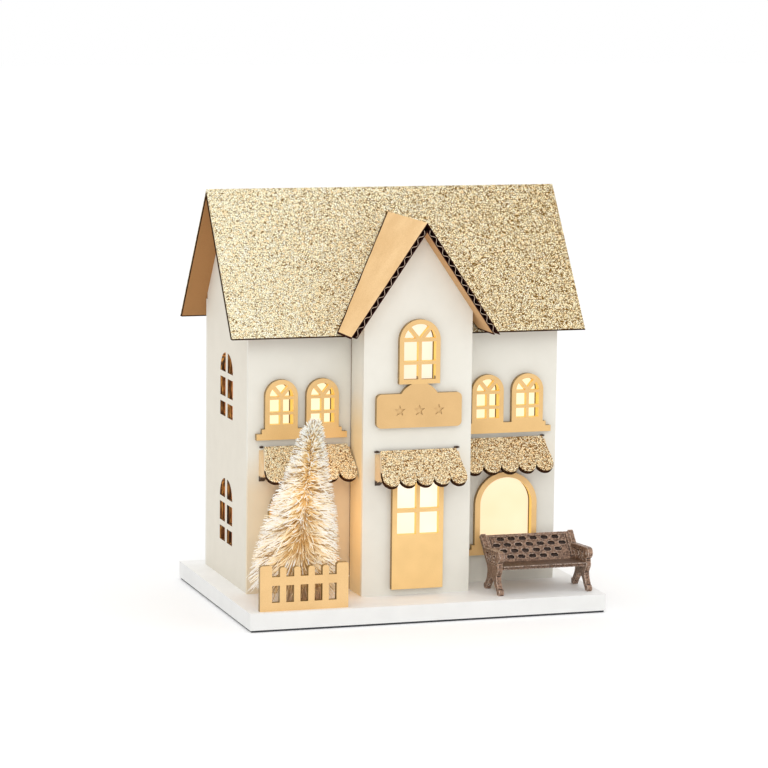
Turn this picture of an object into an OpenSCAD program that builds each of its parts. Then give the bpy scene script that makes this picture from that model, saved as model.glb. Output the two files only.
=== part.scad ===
// Lighted village house in cut board: white walls, glitter roof, gold trim, tree, fence and bench.
// The origin is the middle of the underside. +X is to the right of the front, +Y is to the back.

/* [Base] */
// Width of the base board
base_w = 200; // [196:1:240]
// Depth of the base board
base_d = 147; // [144:1:180]
// Thickness of the base board
base_h = 9; // [8:0.5:12]
// Thickness of the dark underlay
underlay_h = 1; // [0.8:0.1:2]
// Distance from the edge of the board to the edge of the underlay
underlay_inset = 0.8; // [0.2:0.1:3]
// Depth of the yard in front of the wing walls
yard_d = 49.5; // [48:0.5:56]

/* [Walls] */
// Distance from the ends of the base to the side walls
side_yard_w = 12; // [9:0.5:14]
// Depth over the front and back walls
house_d = 86; // [80:1:96]
// Thickness of the wall board
wall_t = 2.5; // [2:0.1:3]
// Share of the house's width that the bay takes
bay_share = 0.3466; // [0.33:0.0002:0.35]
// Distance that the bay stands in front of the wings
bay_out = 22.5; // [21:0.5:23]

/* [Main roof] */
// Distance that the roof reaches past the side walls
roof_end_out = 12; // [6:0.5:16]
// Height of the ridge over the table
ridge_h = 225; // [222:1:240]
// Height of the eaves over the table
eave_h = 149.5; // [146:0.5:150]
// Distance from the walls to the eaves
eave_out = 11.5; // [8:0.5:12]
// Thickness of the roof board
roof_t = 3; // [2:0.1:3.4]
// Width of each tab of the back panel at the ridge
tab_w = 5; // [3:0.5:8]
// Depth of each tab
tab_h = 1; // [0.6:0.1:1.6]
// Distance from the left end of the ridge to the left tab
left_tab_in = 14; // [8:1:30]
// Distance from the right end of the ridge to the right tab
right_tab_in = 2; // [1:0.5:30]

/* [Gable roof] */
// Half of the width over the gable roof, as a share of the bay's width
gable_share = 0.6885; // [0.66:0.0005:0.72]
// Height of the gable's peak over the table
gable_ridge_h = 212.2; // [206:0.2:214]
// Height of the gable's lower ends over the table
gable_eave_h = 151.5; // [151:0.5:153]
// Distance that the gable roof stands in front of the bay
gable_out = 12; // [6:0.5:14]

/* [Side windows] */
// Width of one pane in the side walls
side_pane_w = 10.7; // [8:0.1:13]
// Width of the upright bar between the panes
side_bar_w = 4; // [3:0.1:5]
// Height of the lowest panes
side_low_pane_h = 7.8; // [6:0.1:9]
// Height of the middle panes
side_mid_pane_h = 10.4; // [8:0.1:11]
// Height of the cross bars
side_rail_h = 3.2; // [2.5:0.1:4]
// Height of the lower window's sill over the base
side_sill_h = 20.4; // [14:0.2:26]
// Rise from the lower window to the upper one
side_storey_h = 69.6; // [60:0.2:74]

/* [Trim] */
// Thickness of the gold board
trim_t = 3; // [2:0.1:3.4]
// Distance that a wall's opening stands back behind a frame's opening
rebate = 1; // [0.5:0.1:1.4]
// Thickness of the translucent film
film_t = 0.4; // [0.2:0.1:0.8]
// Distance that the film reaches past the openings
film_lap = 3; // [1:0.5:3]
// Width of the slanted bars in the fanlights
fan_bar_w = 2; // [1.4:0.1:2.4]
// Angle of the slanted bars from upright
fan_bar_angle = 40; // [32:1:48]

/* [Twin windows] */
// Width of each window of a pair, as a share of the wing's width
twin_share = 0.3165; // [0.28:0.0005:0.33]
// Height of each window above its sill
twin_h = 26.6; // [25:0.2:28]
// Distance between the middles of a pair, as a share of the wing's width
twin_pitch_share = 0.4; // [0.37:0.005:0.415]
// Place of the middle of the wing's windows, as a share of the wing's width
window_place_share = 0.49; // [0.488:0.001:0.5]
// Height of the sill's underside over the base
twin_sill_z = 84; // [82:0.5:86]
// Width of the jambs
twin_jamb_w = 2.55; // [2:0.05:3]
// Width of the bars
twin_bar_w = 1.6; // [1.2:0.1:2]
// Height of the sill's lower step
lip_h = 3.3; // [2:0.1:4]
// Height of the sill's upper step
step_h = 2.5; // [1.5:0.1:3]
// Distance that the upper step reaches past the windows
step_out = 1.7; // [1:0.1:2]
// Distance that the lower step reaches past the upper one
lip_out = 3; // [1:0.1:3.4]
// Distance that the right pair sits lower than the left pair
right_drop = 1.1; // [0:0.1:1.2]

/* [Centre window and sign] */
// Width of the centre window, as a share of the bay's width
centre_share = 0.377; // [0.33:0.001:0.42]
// Height of the centre window
centre_h = 34.7; // [32:0.1:36]
// Height of the centre window's underside over the base
centre_z = 115; // [113:0.5:118]
// Width of the centre window's jambs
centre_jamb_w = 2.5; // [2:0.1:3]
// Width of the centre window's bars
centre_bar_w = 1.9; // [1.4:0.1:2.4]
// Rise of the fanlight over the spring of the arch
centre_fan_lift = 1.4; // [0.5:0.1:2]
// Width of the sign plate, as a share of the bay's width
sign_share = 0.787; // [0.68:0.001:0.9]
// Height of the sign plate's straight part
sign_h = 18.4; // [16:0.2:19]
// Gap from the sign's straight top up to the centre window
sign_drop = 5.1; // [4.5:0.1:6]
// Radius of the sign's corners
sign_r = 2.8; // [2:0.1:4]
// Radius of the dome on the sign
dome_r = 11.7; // [11:0.1:13]
// Radius of the stars cut into the sign
star_r = 3.2; // [2:0.1:4]
// Distance between the stars
star_pitch = 11; // [9:0.5:13]
// Depth of the cut stars
star_depth = 0.6; // [0.3:0.1:1.2]

/* [Door and shop windows] */
// Width of the door, as a share of the bay's width
door_share = 0.475; // [0.44:0.005:0.52]
// Height of the door
door_h = 60.5; // [58:0.5:62]
// Height of the door's underside over the base
door_z = 3.6; // [1:0.1:5]
// Width of the door's stiles
door_stile_w = 2.7; // [2:0.1:3.4]
// Width of the bars in the door
door_bar_w = 2; // [1.4:0.1:2.6]
// Height of the door's plain lower panel
door_panel_h = 29.9; // [27:0.1:31]
// Height of the door's lower panes
door_pane_h = 11.9; // [10:0.1:12.5]
// Width of each shop window, as a share of the wing's width
shop_share = 0.626; // [0.58:0.001:0.64]
// Height of each shop window above its sill
shop_h = 40; // [38:0.5:41]
// Height of the shop sill's underside over the base
shop_sill_z = 15.3; // [14:0.1:16]
// Width of the shop window's frame
shop_frame_w = 3; // [2.4:0.1:3.4]
// Distance that the shop sill's lower step reaches past the upper one
shop_lip_out = 2.2; // [1:0.1:3]

/* [Awnings] */
// Width of the awning over the door, as a share of the bay's width
door_awning_share = 0.777; // [0.72:0.001:0.82]
// Width of the awnings over the shop windows, as a share of the wing's width
shop_awning_share = 0.887; // [0.84:0.001:0.92]
// Height of the door awning's top edge over the base
door_awning_z = 79.4; // [78:0.2:81]
// Height of the shop awnings' top edge over the base
shop_awning_z = 80.4; // [79:0.2:82]
// Length of an awning down its slope
awning_l = 22.8; // [21:0.2:24]
// Angle of an awning from upright
awning_angle = 43.5; // [38:0.5:47]
// Number of scallops on an awning
scallops = 5; // [4:1:6]
// Distance that each end of an awning is cut in at its top
awning_cut_in = 2.4; // [0.5:0.1:2.8]
// Depth of the scallops' straight part
scallop_neck = 2.4; // [0.8:0.1:3]
// Gap between scallops
scallop_gap = 0.3; // [0.2:0.05:0.5]
// Thickness of the awning's cheeks
cheek_t = 3; // [2:0.1:4]
// Height of a cheek on the wall
cheek_h = 17; // [14:0.5:18]

/* [Fence and tree] */
// Width of the fence, as a share of the wing's width
fence_share = 0.845; // [0.8:0.005:0.87]
// Height of the fence to its picket tips
fence_h = 24.4; // [22:0.2:25]
// Width of the slots between pickets
slot_w = 4.3; // [3.8:0.1:4.8]
// Width of the pickets between slots
picket_w = 3.5; // [3:0.1:4]
// Height of the lower rail
low_rail_h = 4.6; // [3.5:0.1:5.5]
// Height of the slots
slot_h = 9.1; // [8:0.1:10]
// Height of the upper rail
high_rail_h = 4.6; // [3.5:0.1:5.5]
// Distance from the left end of the base to the fence
fence_in = 6.1; // [4:0.1:8]
// Distance from the front of the base to the fence
fence_back = 3.4; // [2:0.1:4]
// Diameter of the tree's wooden foot
foot_d = 21; // [18:0.5:24]
// Height of the tree's wooden foot
foot_h = 10; // [8:0.5:12]
// Height of the tree over the base
tree_h = 98; // [92:1:104]
// Largest radius of the tree
tree_r = 24; // [20:0.5:24.5]
// Distance that the bare wire bends to the left under the bristles
tree_bend = 2.8; // [0:0.1:4]
// Angle that the bristled part leans to the right
tree_lean = 6.3; // [0:0.1:8]
// Radius of the tree's wire
wire_r = 0.8; // [0.6:0.05:1]
// Radius of the bound bundle that holds the bristles
bundle_r = 1.6; // [1.4:0.1:2.2]
// Place of the tree in front of the left wing, as a share of the wing's width
tree_place_share = 0.4035; // [0.4:0.0005:0.43]
// Distance from the front of the base to the tree
tree_back = 21; // [20:0.2:22]

/* [Bench] */
// Length of the bench over its ends, as a share of the wing's width
bench_share = 0.94; // [0.85:0.01:0.98]
// Depth of the bench at its feet
bench_d = 24.7; // [22:0.1:26]
// Height of the seat over the base
seat_h = 16; // [15:0.1:17]
// Height of the arms over the base
arm_h = 24; // [22:0.2:25]
// Thickness of the arms
arm_t = 2.2; // [2:0.1:2.6]
// Distance that the arms fall towards the back
arm_fall = 1.6; // [0:0.1:2]
// Radius of the rings under the arms
arm_ring_r = 3.3; // [3:0.05:3.5]
// Wall of the rings under the arms
arm_ring_t = 1; // [0.8:0.1:1.2]
// Length of the back up its slope
bench_back_l = 18.5; // [17:0.1:20]
// Angle of the back from upright
bench_lean = 44; // [36:1:48]
// Thickness of the seat and the back
plate_t = 2; // [1.6:0.1:2.6]
// Thickness of the ends
end_t = 3; // [2.4:0.1:3.6]
// Height of the oval hollows in the back
hole_h = 2.4; // [1.8:0.1:2.8]
// Width of the oval hollows in the back
hole_w = 4.2; // [3:0.1:4.6]
// Depth of the oval hollows in the back
hole_depth = 1.2; // [0.6:0.1:1.4]
// Width of the rim round the back
rim_w = 1.5; // [1:0.1:1.8]
// Distance that the rim stands proud
rim_out = 0.4; // [0.2:0.1:0.6]
// Distance between the hollows of a row, as a share of the plate's length
hole_pitch_share = 0.133; // [0.12:0.001:0.138]
// Distance between the rows of hollows
row_pitch = 3.9; // [3.4:0.1:4.1]
// Place of the bench in front of the right wing, as a share of the wing's width
bench_place_share = 0.34; // [0.32:0.01:0.36]
// Distance from the front of the base to the front feet
bench_back = 8.5; // [6:0.5:10]

/* [Battery box] */
// Diameter of a cell
cell_d = 10.5; // [10:0.1:11]
// Length of a cell's body
cell_l = 43.5; // [42:0.1:45]
// Diameter of a cell's nub
nub_d = 3.8; // [3:0.1:4.5]
// Length of a cell's nub
nub_l = 1; // [0.8:0.1:1.4]
// Length of a pressed contact spring
spring_l = 7.7; // [6:0.1:9]
// Diameter of a contact spring
spring_d = 6; // [5:0.1:7]
// Thickness of a contact plate
contact_t = 0.4; // [0.3:0.1:0.8]
// Thickness of the box's walls
box_wall = 1.5; // [1.2:0.1:2]
// Length of the switch's room
switch_room = 12.5; // [12:0.1:15]
// Length of the screw's room
screw_room = 8.3; // [7.5:0.1:10]
// Thickness of the cover
cover_t = 2; // [1.8:0.1:2.6]
// Distance from the table up to the cover
cover_lift = 0.4; // [0.3:0.1:0.8]
// Width of the flange
flange_w = 3; // [2:0.5:5]
// Thickness of the flange
flange_t = 1.5; // [1:0.1:2]
// Radius of the cover screw's shank
screw_r = 0.95; // [0.8:0.05:1.2]
// Length of the screw's shank
screw_l = 5.4; // [4:0.1:7]
// Radius of the screw's head
head_r = 1.8; // [1.6:0.1:2.2]
// Thickness of the screw's head
head_t = 1; // [0.8:0.1:1.2]
// Travel of the switch
switch_travel = 3; // [2:0.1:3]
// Length of the switch's knob
knob_l = 2.4; // [2:0.1:2.6]
// Width of the switch's knob
knob_w = 3.4; // [3:0.1:4]
// Distance that the knob's foot reaches past the knob
knob_foot_out = 0.7; // [0.5:0.1:0.8]

/* [Lamps] */
// Length of the lamp board
board_l = 60; // [58:1:70]
// Width of the lamp board
board_w = 14; // [12:0.5:18]
// Thickness of the lamp board
board_t = 1.6; // [1:0.1:2]
// Height of the posts under the lamp board
post_h = 6; // [5.6:0.1:6.4]
// Radius of the posts
post_r = 2; // [1.8:0.1:2.4]
// Distance from the middle of the board to the posts
post_x = 24; // [20:0.5:25]
// Radius of a lamp
lamp_r = 2.5; // [1.5:0.1:3]
// Height of a lamp under its dome
lamp_h = 4; // [3:0.1:6]
// Distance between the lamps
lamp_pitch = 15; // [10:0.5:18]
// Radius of each wire of the lead
lead_r = 0.6; // [0.5:0.05:0.75]
// Distance between the wires of the lead
lead_pitch = 2.4; // [2:0.1:3]

/* [Hidden] */
$fn = 64;

// How far a cut runs past the faces that it opens
over = 1;
// Thickness of the glue between sloped pieces
glue_t = 0.05;
// Clearance around pieces that are put in and taken out
fit = 0.25;
// Clearance around a screw in its hole
screw_fit = 0.05;

// Heights and places of the house
floor_z = underlay_h + base_h;
front_y = -base_d / 2;
wing_y = front_y + yard_d;
bay_y = wing_y - bay_out;
ridge_y = wing_y + house_d / 2;
back_y = wing_y + house_d;
wing_back_y = wing_y + wall_t;
bay_back_y = bay_y + wall_t;
house_w = base_w - 2 * side_yard_w;
bay_w = house_w * bay_share;
wing_w = (house_w - bay_w) / 2;
side_x = house_w / 2;
bay_x = bay_w / 2;

// Widths of the pieces on the bay and on the wings
centre_w = bay_w * centre_share;
sign_w = bay_w * sign_share;
door_w = bay_w * door_share;
door_awning_w = bay_w * door_awning_share;
gable_half_w = bay_w * gable_share;
twin_w = wing_w * twin_share;
twin_pitch = wing_w * twin_pitch_share;
shop_w = wing_w * shop_share;
shop_awning_w = wing_w * shop_awning_share;
window_x = bay_x + wing_w * window_place_share;
fence_w = wing_w * fence_share;
bench_len = wing_w * bench_share;
roof_w = house_w + 2 * roof_end_out;

// Slope of the main roof, and its board's thickness measured level and upright
run = house_d / 2 + eave_out;
slope = atan2(ridge_h - eave_h, run);
roof_level_t = roof_t / sin(slope);
roof_upright_t = roof_t / cos(slope);
function roof_out_z(y) = ridge_h - abs(y - ridge_y) * tan(slope);
function roof_in_z(y) = roof_out_z(y) - roof_upright_t;

// Slope of the gable roof, and its board's thickness measured level and upright
gable_y = bay_y - gable_out;
gable_slope = atan2(gable_ridge_h - gable_eave_h, gable_half_w);
gable_level_t = roof_t / sin(gable_slope);
gable_upright_t = roof_t / cos(gable_slope);
function gable_in_z(x) = gable_ridge_h - gable_upright_t - abs(x) * tan(gable_slope);

// Share of the height between the rails that the lower panes take
low_pane_share = 0.435;

// Places of the tree, the fence and the bench
fence_y = front_y + fence_back;
fence_x = -base_w / 2 + fence_in;
slots = 5;
fence_post_w = (fence_w - slots * slot_w - (slots - 1) * picket_w) / 2;
tree_x = wing_w * tree_place_share - side_x;
tree_y = front_y + tree_back;
bench_x = side_x - wing_w * bench_place_share;
bench_y = front_y + bench_back;

// Flat at the top of the dome on the sign, and how deep the stars are cut in
dome_flat_w = 8.4;
star_waist_share = 0.42;

// Outline of a bench end's legs, as shares of its depth and of the seat's height
leg_shares = [
  [0.02, 0], [0.13, 0], [0.2, 0.13], [0.36, 0.4], [0.5, 0.5], [0.64, 0.4], [0.8, 0.13], [0.87, 0], [0.98, 0],
  [0.95, 0.14], [0.82, 0.42], [0.77, 0.64], [0.81, 0.84], [0.8, 1], [0.11, 1], [0.1, 0.84],
  [0.2, 0.64], [0.17, 0.42], [0.05, 0.14]
];
// Radius of the rolled feet, and places of the rings under the arms, as shares of the bench's depth
toe_share = 0.07;
ring_shares = [0.35, 0.61];
// Size of a ring's inner curl as a share of the ring, and how far it sits off the middle
curl_share = 0.54;
curl_off_share = 0.26;
// Depth of the seat and place of the foot of the back, as shares of the bench's depth
seat_depth_share = 0.8;
seat_fall_share = 0.065;
scroll_share = 0.12;
scroll_eye_share = 0.45;
row_holes = [5, 6, 7, 6];
back_rim = (bench_back_l - (len(row_holes) - 1) * row_pitch) / 2 + plate_t / 4;
// Thickness of the back at its rim, and height up the back at which the rim starts
rim_t = plate_t + rim_out;
rim_foot = back_rim - hole_h / 2;

// Bristles: rows up the bundle, strands in a row, and how they lean
tree_rows = 50;
row_strands = 8;
bundle_low_share = 0.27;
bundle_high_share = 0.94;
tree_bulge = 1.6;
low_tilt = -24;
high_tilt = 42;
tip_share = 0.22;
ripple_share = 0.05;
golden_angle = 137.5;
least_reach_share = 0.12;
near_gap = 1.2;

// The wire bends just under the bristles, and is a little thicker below them
bend_z = tree_h * bundle_low_share - near_gap;
stem_r = wire_r * 1.15;

// Places in the battery box
cell_room = cell_l + nub_l + spring_l + 2 * contact_t;
box_l = 3 * box_wall + switch_room + cell_room + screw_room;
cell_gap = 0.8;
box_room_w = 2 * cell_d + 5 * cell_gap;
box_w = box_room_w + 2 * box_wall;
box_y = ridge_y + house_d / 8;
switch_x0 = -box_l / 2 + box_wall;
cell_x0 = switch_x0 + switch_room + box_wall;
cell_x1 = cell_x0 + cell_room;
room_x1 = box_l / 2 - box_wall;
screw_x = (cell_x1 + room_x1) / 2;
switch_x = switch_x0 + switch_room / 2;
cover_z = cover_lift + cover_t;
cell_z = cover_z + cell_gap / 2 + cell_d / 2;
cell_y = cell_d / 2 + cell_gap / 2;
box_roof_z = cell_z + cell_d / 2 + cell_gap / 2;
box_top_z = box_roof_z + box_wall;
counterbore = head_t + fit;
boss_r = screw_r + box_wall;
switch_h = 4.5;
switch_w = 7.5;
switch_wall = 1;
knob_z = cover_lift + fit;
knob_foot_h = 2;
seat_share = 0.5;
board_z = box_top_z + post_h;
dimple_share = 0.5;
slot_width_share = 0.22;
slot_length_share = 0.75;
rim_share = 0.3;
lamp_rim = 0.4;
resistor_r = 1.1;
resistor_l = 6.3;
resistor_y = -4;
resistor_x = 7.5;

// Route of the lead from the battery box to the lamp board, as places along X and up from the box
lead_route = [[-34, 0], [-34, 1.6], [-33, 2.8], [-31, 3.2], [-29, 3.2], [-28, 3.8], [-28, 4.6], [-28, 6]];
lead_sides = 8;

// A plate between two places along X, from its outline seen from the right side
module plate_x(x0, x1, points) {
  translate([x0, 0, 0]) rotate([90, 0, 90]) linear_extrude(height = x1 - x0) polygon(points);
}

// A plate between two places along Y, from its outline seen from the front
module plate_y(y0, y1) {
  translate([0, y1, 0]) rotate([90, 0, 0]) linear_extrude(height = y1 - y0) children();
}

// A box between two corners
module box_between(low, high) {
  translate(low) cube(high - low);
}

// A window shape with a round top, standing on its sill
module arch(w, h) {
  translate([-w / 2, 0]) square([w, h - w / 2]);
  translate([0, h - w / 2]) circle(d = w);
}

// A shape and its mirror image
module both() {
  children();
  mirror([1, 0, 0]) children();
}

// Panes of a round-topped window: two rows under a fanlight of three lights
module panes(w, h, jamb, bar, lift) {
  light_w = w - 2 * jamb;
  spring = h - w / 2;
  high_top = spring + lift - bar;
  low_h = (high_top - jamb - bar) * low_pane_share;
  pane_w = (light_w - bar) / 2;
  both() translate([bar / 2, jamb]) square([pane_w, low_h]);
  both() translate([bar / 2, jamb + low_h + bar]) square([pane_w, high_top - jamb - low_h - bar]);
  translate([0, spring]) difference() {
    intersection() {
      circle(d = light_w);
      translate([-w / 2, lift]) square([w, w / 2]);
    }
    both() rotate(fan_bar_angle) translate([-fan_bar_w / 2, 0]) square([fan_bar_w, w]);
  }
}

// Stepped sill under frames that are w wide, from its underside up
module sill(w, lip) {
  translate([-w / 2 - step_out - lip, 0]) square([w + 2 * (step_out + lip), lip_h]);
  translate([-w / 2 - step_out, 0]) square([w + 2 * step_out, lip_h + step_h]);
}

module twin_frame() {
  top = lip_h + step_h;
  difference() {
    union() {
      sill(twin_pitch + twin_w, lip_out);
      both() translate([twin_pitch / 2, top - over]) arch(twin_w, twin_h + over);
    }
    both() translate([twin_pitch / 2, top]) panes(twin_w, twin_h, twin_jamb_w, twin_bar_w, 0);
  }
}

module shop_frame() {
  top = lip_h + step_h;
  difference() {
    union() {
      sill(shop_w, shop_lip_out);
      translate([0, top - over]) arch(shop_w, shop_h + over);
    }
    translate([0, top + shop_frame_w]) arch(shop_w - 2 * shop_frame_w, shop_h - 2 * shop_frame_w);
  }
}

// Openings in a wing wall whose upper windows hang lower by drop, seen from the front
module wing_openings(drop) {
  top = lip_h + step_h;
  hole_w = twin_w - 2 * twin_jamb_w + 2 * rebate;
  hole_low = twin_jamb_w - rebate;
  for (s = [-1, 1])
    translate([window_x + s * twin_pitch / 2, floor_z + twin_sill_z - drop + top + hole_low])
      arch(hole_w, twin_h - 2 * hole_low);
  shop_low = shop_frame_w - rebate;
  translate([window_x, floor_z + shop_sill_z + top + shop_low])
    arch(shop_w - 2 * shop_low, shop_h - 2 * shop_low);
}

module wing_wall(drop) {
  plate_y(wing_y, wing_back_y) difference() {
    translate([bay_x, floor_z]) square([side_x - bay_x, roof_in_z(wing_y) - glue_t - floor_z]);
    wing_openings(drop);
  }
}

// Two panes side by side in three rows, the top ones rounded to the middle bar
module side_window() {
  mid_z = side_low_pane_h + side_rail_h;
  top_z = mid_z + side_mid_pane_h + side_rail_h;
  both() translate([side_bar_w / 2, 0]) {
    square([side_pane_w, side_low_pane_h]);
    translate([0, mid_z]) square([side_pane_w, side_mid_pane_h]);
    translate([0, top_z]) intersection() {
      circle(r = side_pane_w);
      square([side_pane_w, side_pane_w]);
    }
  }
}

module side_wall() {
  low_z = roof_in_z(wing_back_y) - glue_t;
  x0 = side_x - wall_t;
  difference() {
    plate_x(x0, side_x, [
      [wing_back_y, floor_z], [back_y - wall_t, floor_z], [back_y - wall_t, low_z],
      [ridge_y, roof_in_z(ridge_y) - glue_t], [wing_back_y, low_z]
    ]);
    for (storey = [0, side_storey_h])
      translate([x0 - over, ridge_y, floor_z + side_sill_h + storey]) rotate([90, 0, 90])
        linear_extrude(height = wall_t + 2 * over) side_window();
  }
}

// The front roof panel's own space, grown by g on both faces
module roof_slot(x0, x1, g) {
  plate_x(x0, x1, [
    [ridge_y - run - g, eave_h], [ridge_y, ridge_h + g], [ridge_y, ridge_h - roof_upright_t - g],
    [ridge_y - run + roof_level_t + g, eave_h]
  ]);
}

module bay_side() {
  top_z = gable_in_z(bay_x) - glue_t;
  difference() {
    box_between([bay_x - wall_t, bay_back_y, floor_z], [bay_x, wing_back_y, top_z]);
    roof_slot(bay_x - wall_t - over, bay_x + over, glue_t);
  }
}

module base_board() {
  color("white") difference() {
    box_between([-base_w / 2, front_y, underlay_h], [base_w / 2, front_y + base_d, floor_z]);
    box_hole();
  }
}

module base_underlay() {
  color("dimgray") difference() {
    box_between([-base_w / 2 + underlay_inset, front_y + underlay_inset, 0],
      [base_w / 2 - underlay_inset, front_y + base_d - underlay_inset, underlay_h]);
    box_hole();
  }
}

// The hole that the battery box sits in
module box_hole() {
  translate([-box_l / 2 - fit, box_y - box_w / 2 - fit, -over])
    cube([box_l + 2 * fit, box_w + 2 * fit, floor_z + 2 * over]);
}

module right_wall() {
  color("ivory") side_wall();
}

module left_wall() {
  color("ivory") mirror([1, 0, 0]) side_wall();
}

module back_wall() {
  top_z = roof_in_z(back_y) - glue_t;
  color("ivory") box_between([-side_x, back_y - wall_t, floor_z], [side_x, back_y, top_z]);
}

module wing_wall_right() {
  color("ivory") wing_wall(right_drop);
}

module wing_wall_left() {
  color("ivory") mirror([1, 0, 0]) wing_wall(0);
}

module bay_front() {
  door_low = door_z + door_panel_h - rebate;
  door_high = door_z + door_h - door_stile_w + rebate;
  hole_low = centre_jamb_w - rebate;
  shoulder_z = gable_in_z(bay_x) - glue_t;
  door_hole_w = door_w - 2 * door_stile_w + 2 * rebate;
  color("ivory") plate_y(bay_y, bay_back_y) difference() {
    polygon([
      [-bay_x, floor_z], [bay_x, floor_z], [bay_x, shoulder_z],
      [0, gable_in_z(0) - glue_t], [-bay_x, shoulder_z]
    ]);
    translate([0, floor_z + centre_z + hole_low]) arch(centre_w - 2 * hole_low, centre_h - 2 * hole_low);
    translate([-door_hole_w / 2, floor_z + door_low]) square([door_hole_w, door_high - door_low]);
  }
}

module bay_side_right() {
  color("ivory") bay_side();
}

module bay_side_left() {
  color("ivory") mirror([1, 0, 0]) bay_side();
}

// Places of the tabs of the back panel along the ridge
tab_places = [-roof_w / 2 + left_tab_in, roof_w / 2 - right_tab_in - tab_w];

// One tab at the ridge
module ridge_tab(x) {
  y0 = ridge_y - tab_h / tan(slope);
  tab_z = ridge_h - tab_h;
  plate_x(x, x + tab_w, [[y0, tab_z], [ridge_y, tab_z], [ridge_y, ridge_h]]);
}

module roof_front_panel() {
  color("tan") difference() {
    roof_slot(-roof_w / 2, roof_w / 2, 0);
    for (x = tab_places)
      box_between([x, ridge_y - run, ridge_h - tab_h], [x + tab_w, ridge_y + over, ridge_h + over]);
  }
}

module roof_back_panel() {
  color("tan") union() {
    plate_x(-roof_w / 2, roof_w / 2, [
      [ridge_y, ridge_h], [ridge_y, ridge_h - roof_upright_t],
      [ridge_y + run - roof_level_t, eave_h], [ridge_y + run, eave_h]
    ]);
    for (x = tab_places) ridge_tab(x);
  }
}

module gable_panel() {
  color("goldenrod") difference() {
    plate_y(gable_y, ridge_y) polygon([
      [0, gable_ridge_h], [gable_half_w, gable_eave_h], [gable_half_w - gable_level_t, gable_eave_h],
      [0, gable_ridge_h - gable_upright_t]
    ]);
    plate_x(-over, gable_half_w + over, [
      [ridge_y - run - glue_t, eave_h], [ridge_y, ridge_h + glue_t * tan(slope)], [ridge_y + over, ridge_h],
      [ridge_y + over, floor_z], [ridge_y - run - glue_t, floor_z]
    ]);
  }
}

module gable_roof_right() {
  gable_panel();
}

module gable_roof_left() {
  mirror([1, 0, 0]) gable_panel();
}

// A sloped awning panel with a scalloped lower edge, its top edge against the wall
module awning(x, y, z, w) {
  pitch = w / scallops;
  r = (pitch - scallop_gap) / 2;
  neck_l = awning_l - r - scallop_neck;
  top_w = w - 2 * awning_cut_in;
  translate([x, y, floor_z + z - trim_t * sin(awning_angle)]) rotate([90 - awning_angle, 0, 0])
    linear_extrude(height = trim_t) {
      polygon([[-top_w / 2, 0], [-w / 2, -neck_l], [w / 2, -neck_l], [top_w / 2, 0]]);
      for (i = [0 : scallops - 1])
        translate([(i + 0.5) * pitch - w / 2, -(awning_l - r)]) {
          circle(r = r);
          translate([-r, 0]) square([2 * r, scallop_neck + over / 2]);
        }
    }
}

// The two cheeks under an awning
module cheeks(x, y, z, w) {
  top_z = floor_z + z - trim_t * sin(awning_angle) - glue_t / sin(awning_angle);
  l = awning_l - w / scallops / 2 - scallop_neck;
  outline = [
    [y, top_z], [y - l * sin(awning_angle), top_z - l * cos(awning_angle)], [y, top_z - cheek_h]
  ];
  plate_x(x - w / 2, x - w / 2 + cheek_t, outline);
  plate_x(x + w / 2 - cheek_t, x + w / 2, outline);
}

// Middle of an awning over a shop window, which reaches in to the bay
shop_awning_x = bay_x + fit + shop_awning_w / 2;

module door_awning() {
  color("tan") awning(0, bay_y, door_awning_z, door_awning_w);
}

module shop_awning_right() {
  color("tan") awning(shop_awning_x, wing_y, shop_awning_z, shop_awning_w);
}

module shop_awning_left() {
  color("tan") awning(-shop_awning_x, wing_y, shop_awning_z, shop_awning_w);
}

module door_awning_cheeks() {
  color("goldenrod") cheeks(0, bay_y, door_awning_z, door_awning_w);
}

module shop_awning_right_cheeks() {
  color("goldenrod") cheeks(shop_awning_x, wing_y, shop_awning_z, shop_awning_w);
}

module shop_awning_left_cheeks() {
  color("goldenrod") cheeks(-shop_awning_x, wing_y, shop_awning_z, shop_awning_w);
}

module door() {
  pane_w = (door_w - 2 * door_stile_w - door_bar_w) / 2;
  high_z = door_panel_h + door_pane_h + door_bar_w;
  color("goldenrod") translate([0, 0, floor_z + door_z]) plate_y(bay_y - trim_t, bay_y) difference() {
    translate([-door_w / 2, 0]) square([door_w, door_h]);
    both() translate([door_bar_w / 2, door_panel_h]) square([pane_w, door_pane_h]);
    both() translate([door_bar_w / 2, high_z]) square([pane_w, door_h - door_stile_w - high_z]);
  }
}

module centre_window() {
  color("goldenrod") translate([0, 0, floor_z + centre_z]) plate_y(bay_y - trim_t, bay_y) difference() {
    arch(centre_w, centre_h);
    panes(centre_w, centre_h, centre_jamb_w, centre_bar_w, centre_fan_lift);
  }
}

// A rectangle with round corners, standing on its lower edge
module round_plate(w, h, r) {
  translate([-w / 2 + r, 0]) square([w - 2 * r, h]);
  translate([-w / 2, r]) square([w, h - 2 * r]);
  for (x = [-w / 2 + r, w / 2 - r], y = [r, h - r])
    translate([x, y]) circle(r = r);
}

// A five-pointed star
module star(r) {
  polygon([for (i = [0 : 9]) (i % 2 == 0 ? r : r * star_waist_share) * [sin(i * 36), cos(i * 36)]]);
}

module sign_plate() {
  dome_z = sign_h + sign_drop - sqrt(pow(dome_r, 2) - pow(dome_flat_w / 2, 2));
  color("goldenrod") translate([0, 0, floor_z + centre_z - sign_drop - sign_h]) difference() {
    plate_y(bay_y - trim_t, bay_y) {
      round_plate(sign_w, sign_h, sign_r);
      intersection() {
        translate([0, dome_z]) circle(r = dome_r);
        translate([-dome_r, sign_h - sign_r]) square([2 * dome_r, sign_drop + sign_r]);
      }
    }
    for (i = [-1 : 1])
      translate([i * star_pitch, 0, sign_h / 2])
        plate_y(bay_y - trim_t - over, bay_y - trim_t + star_depth) star(star_r);
  }
}

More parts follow.
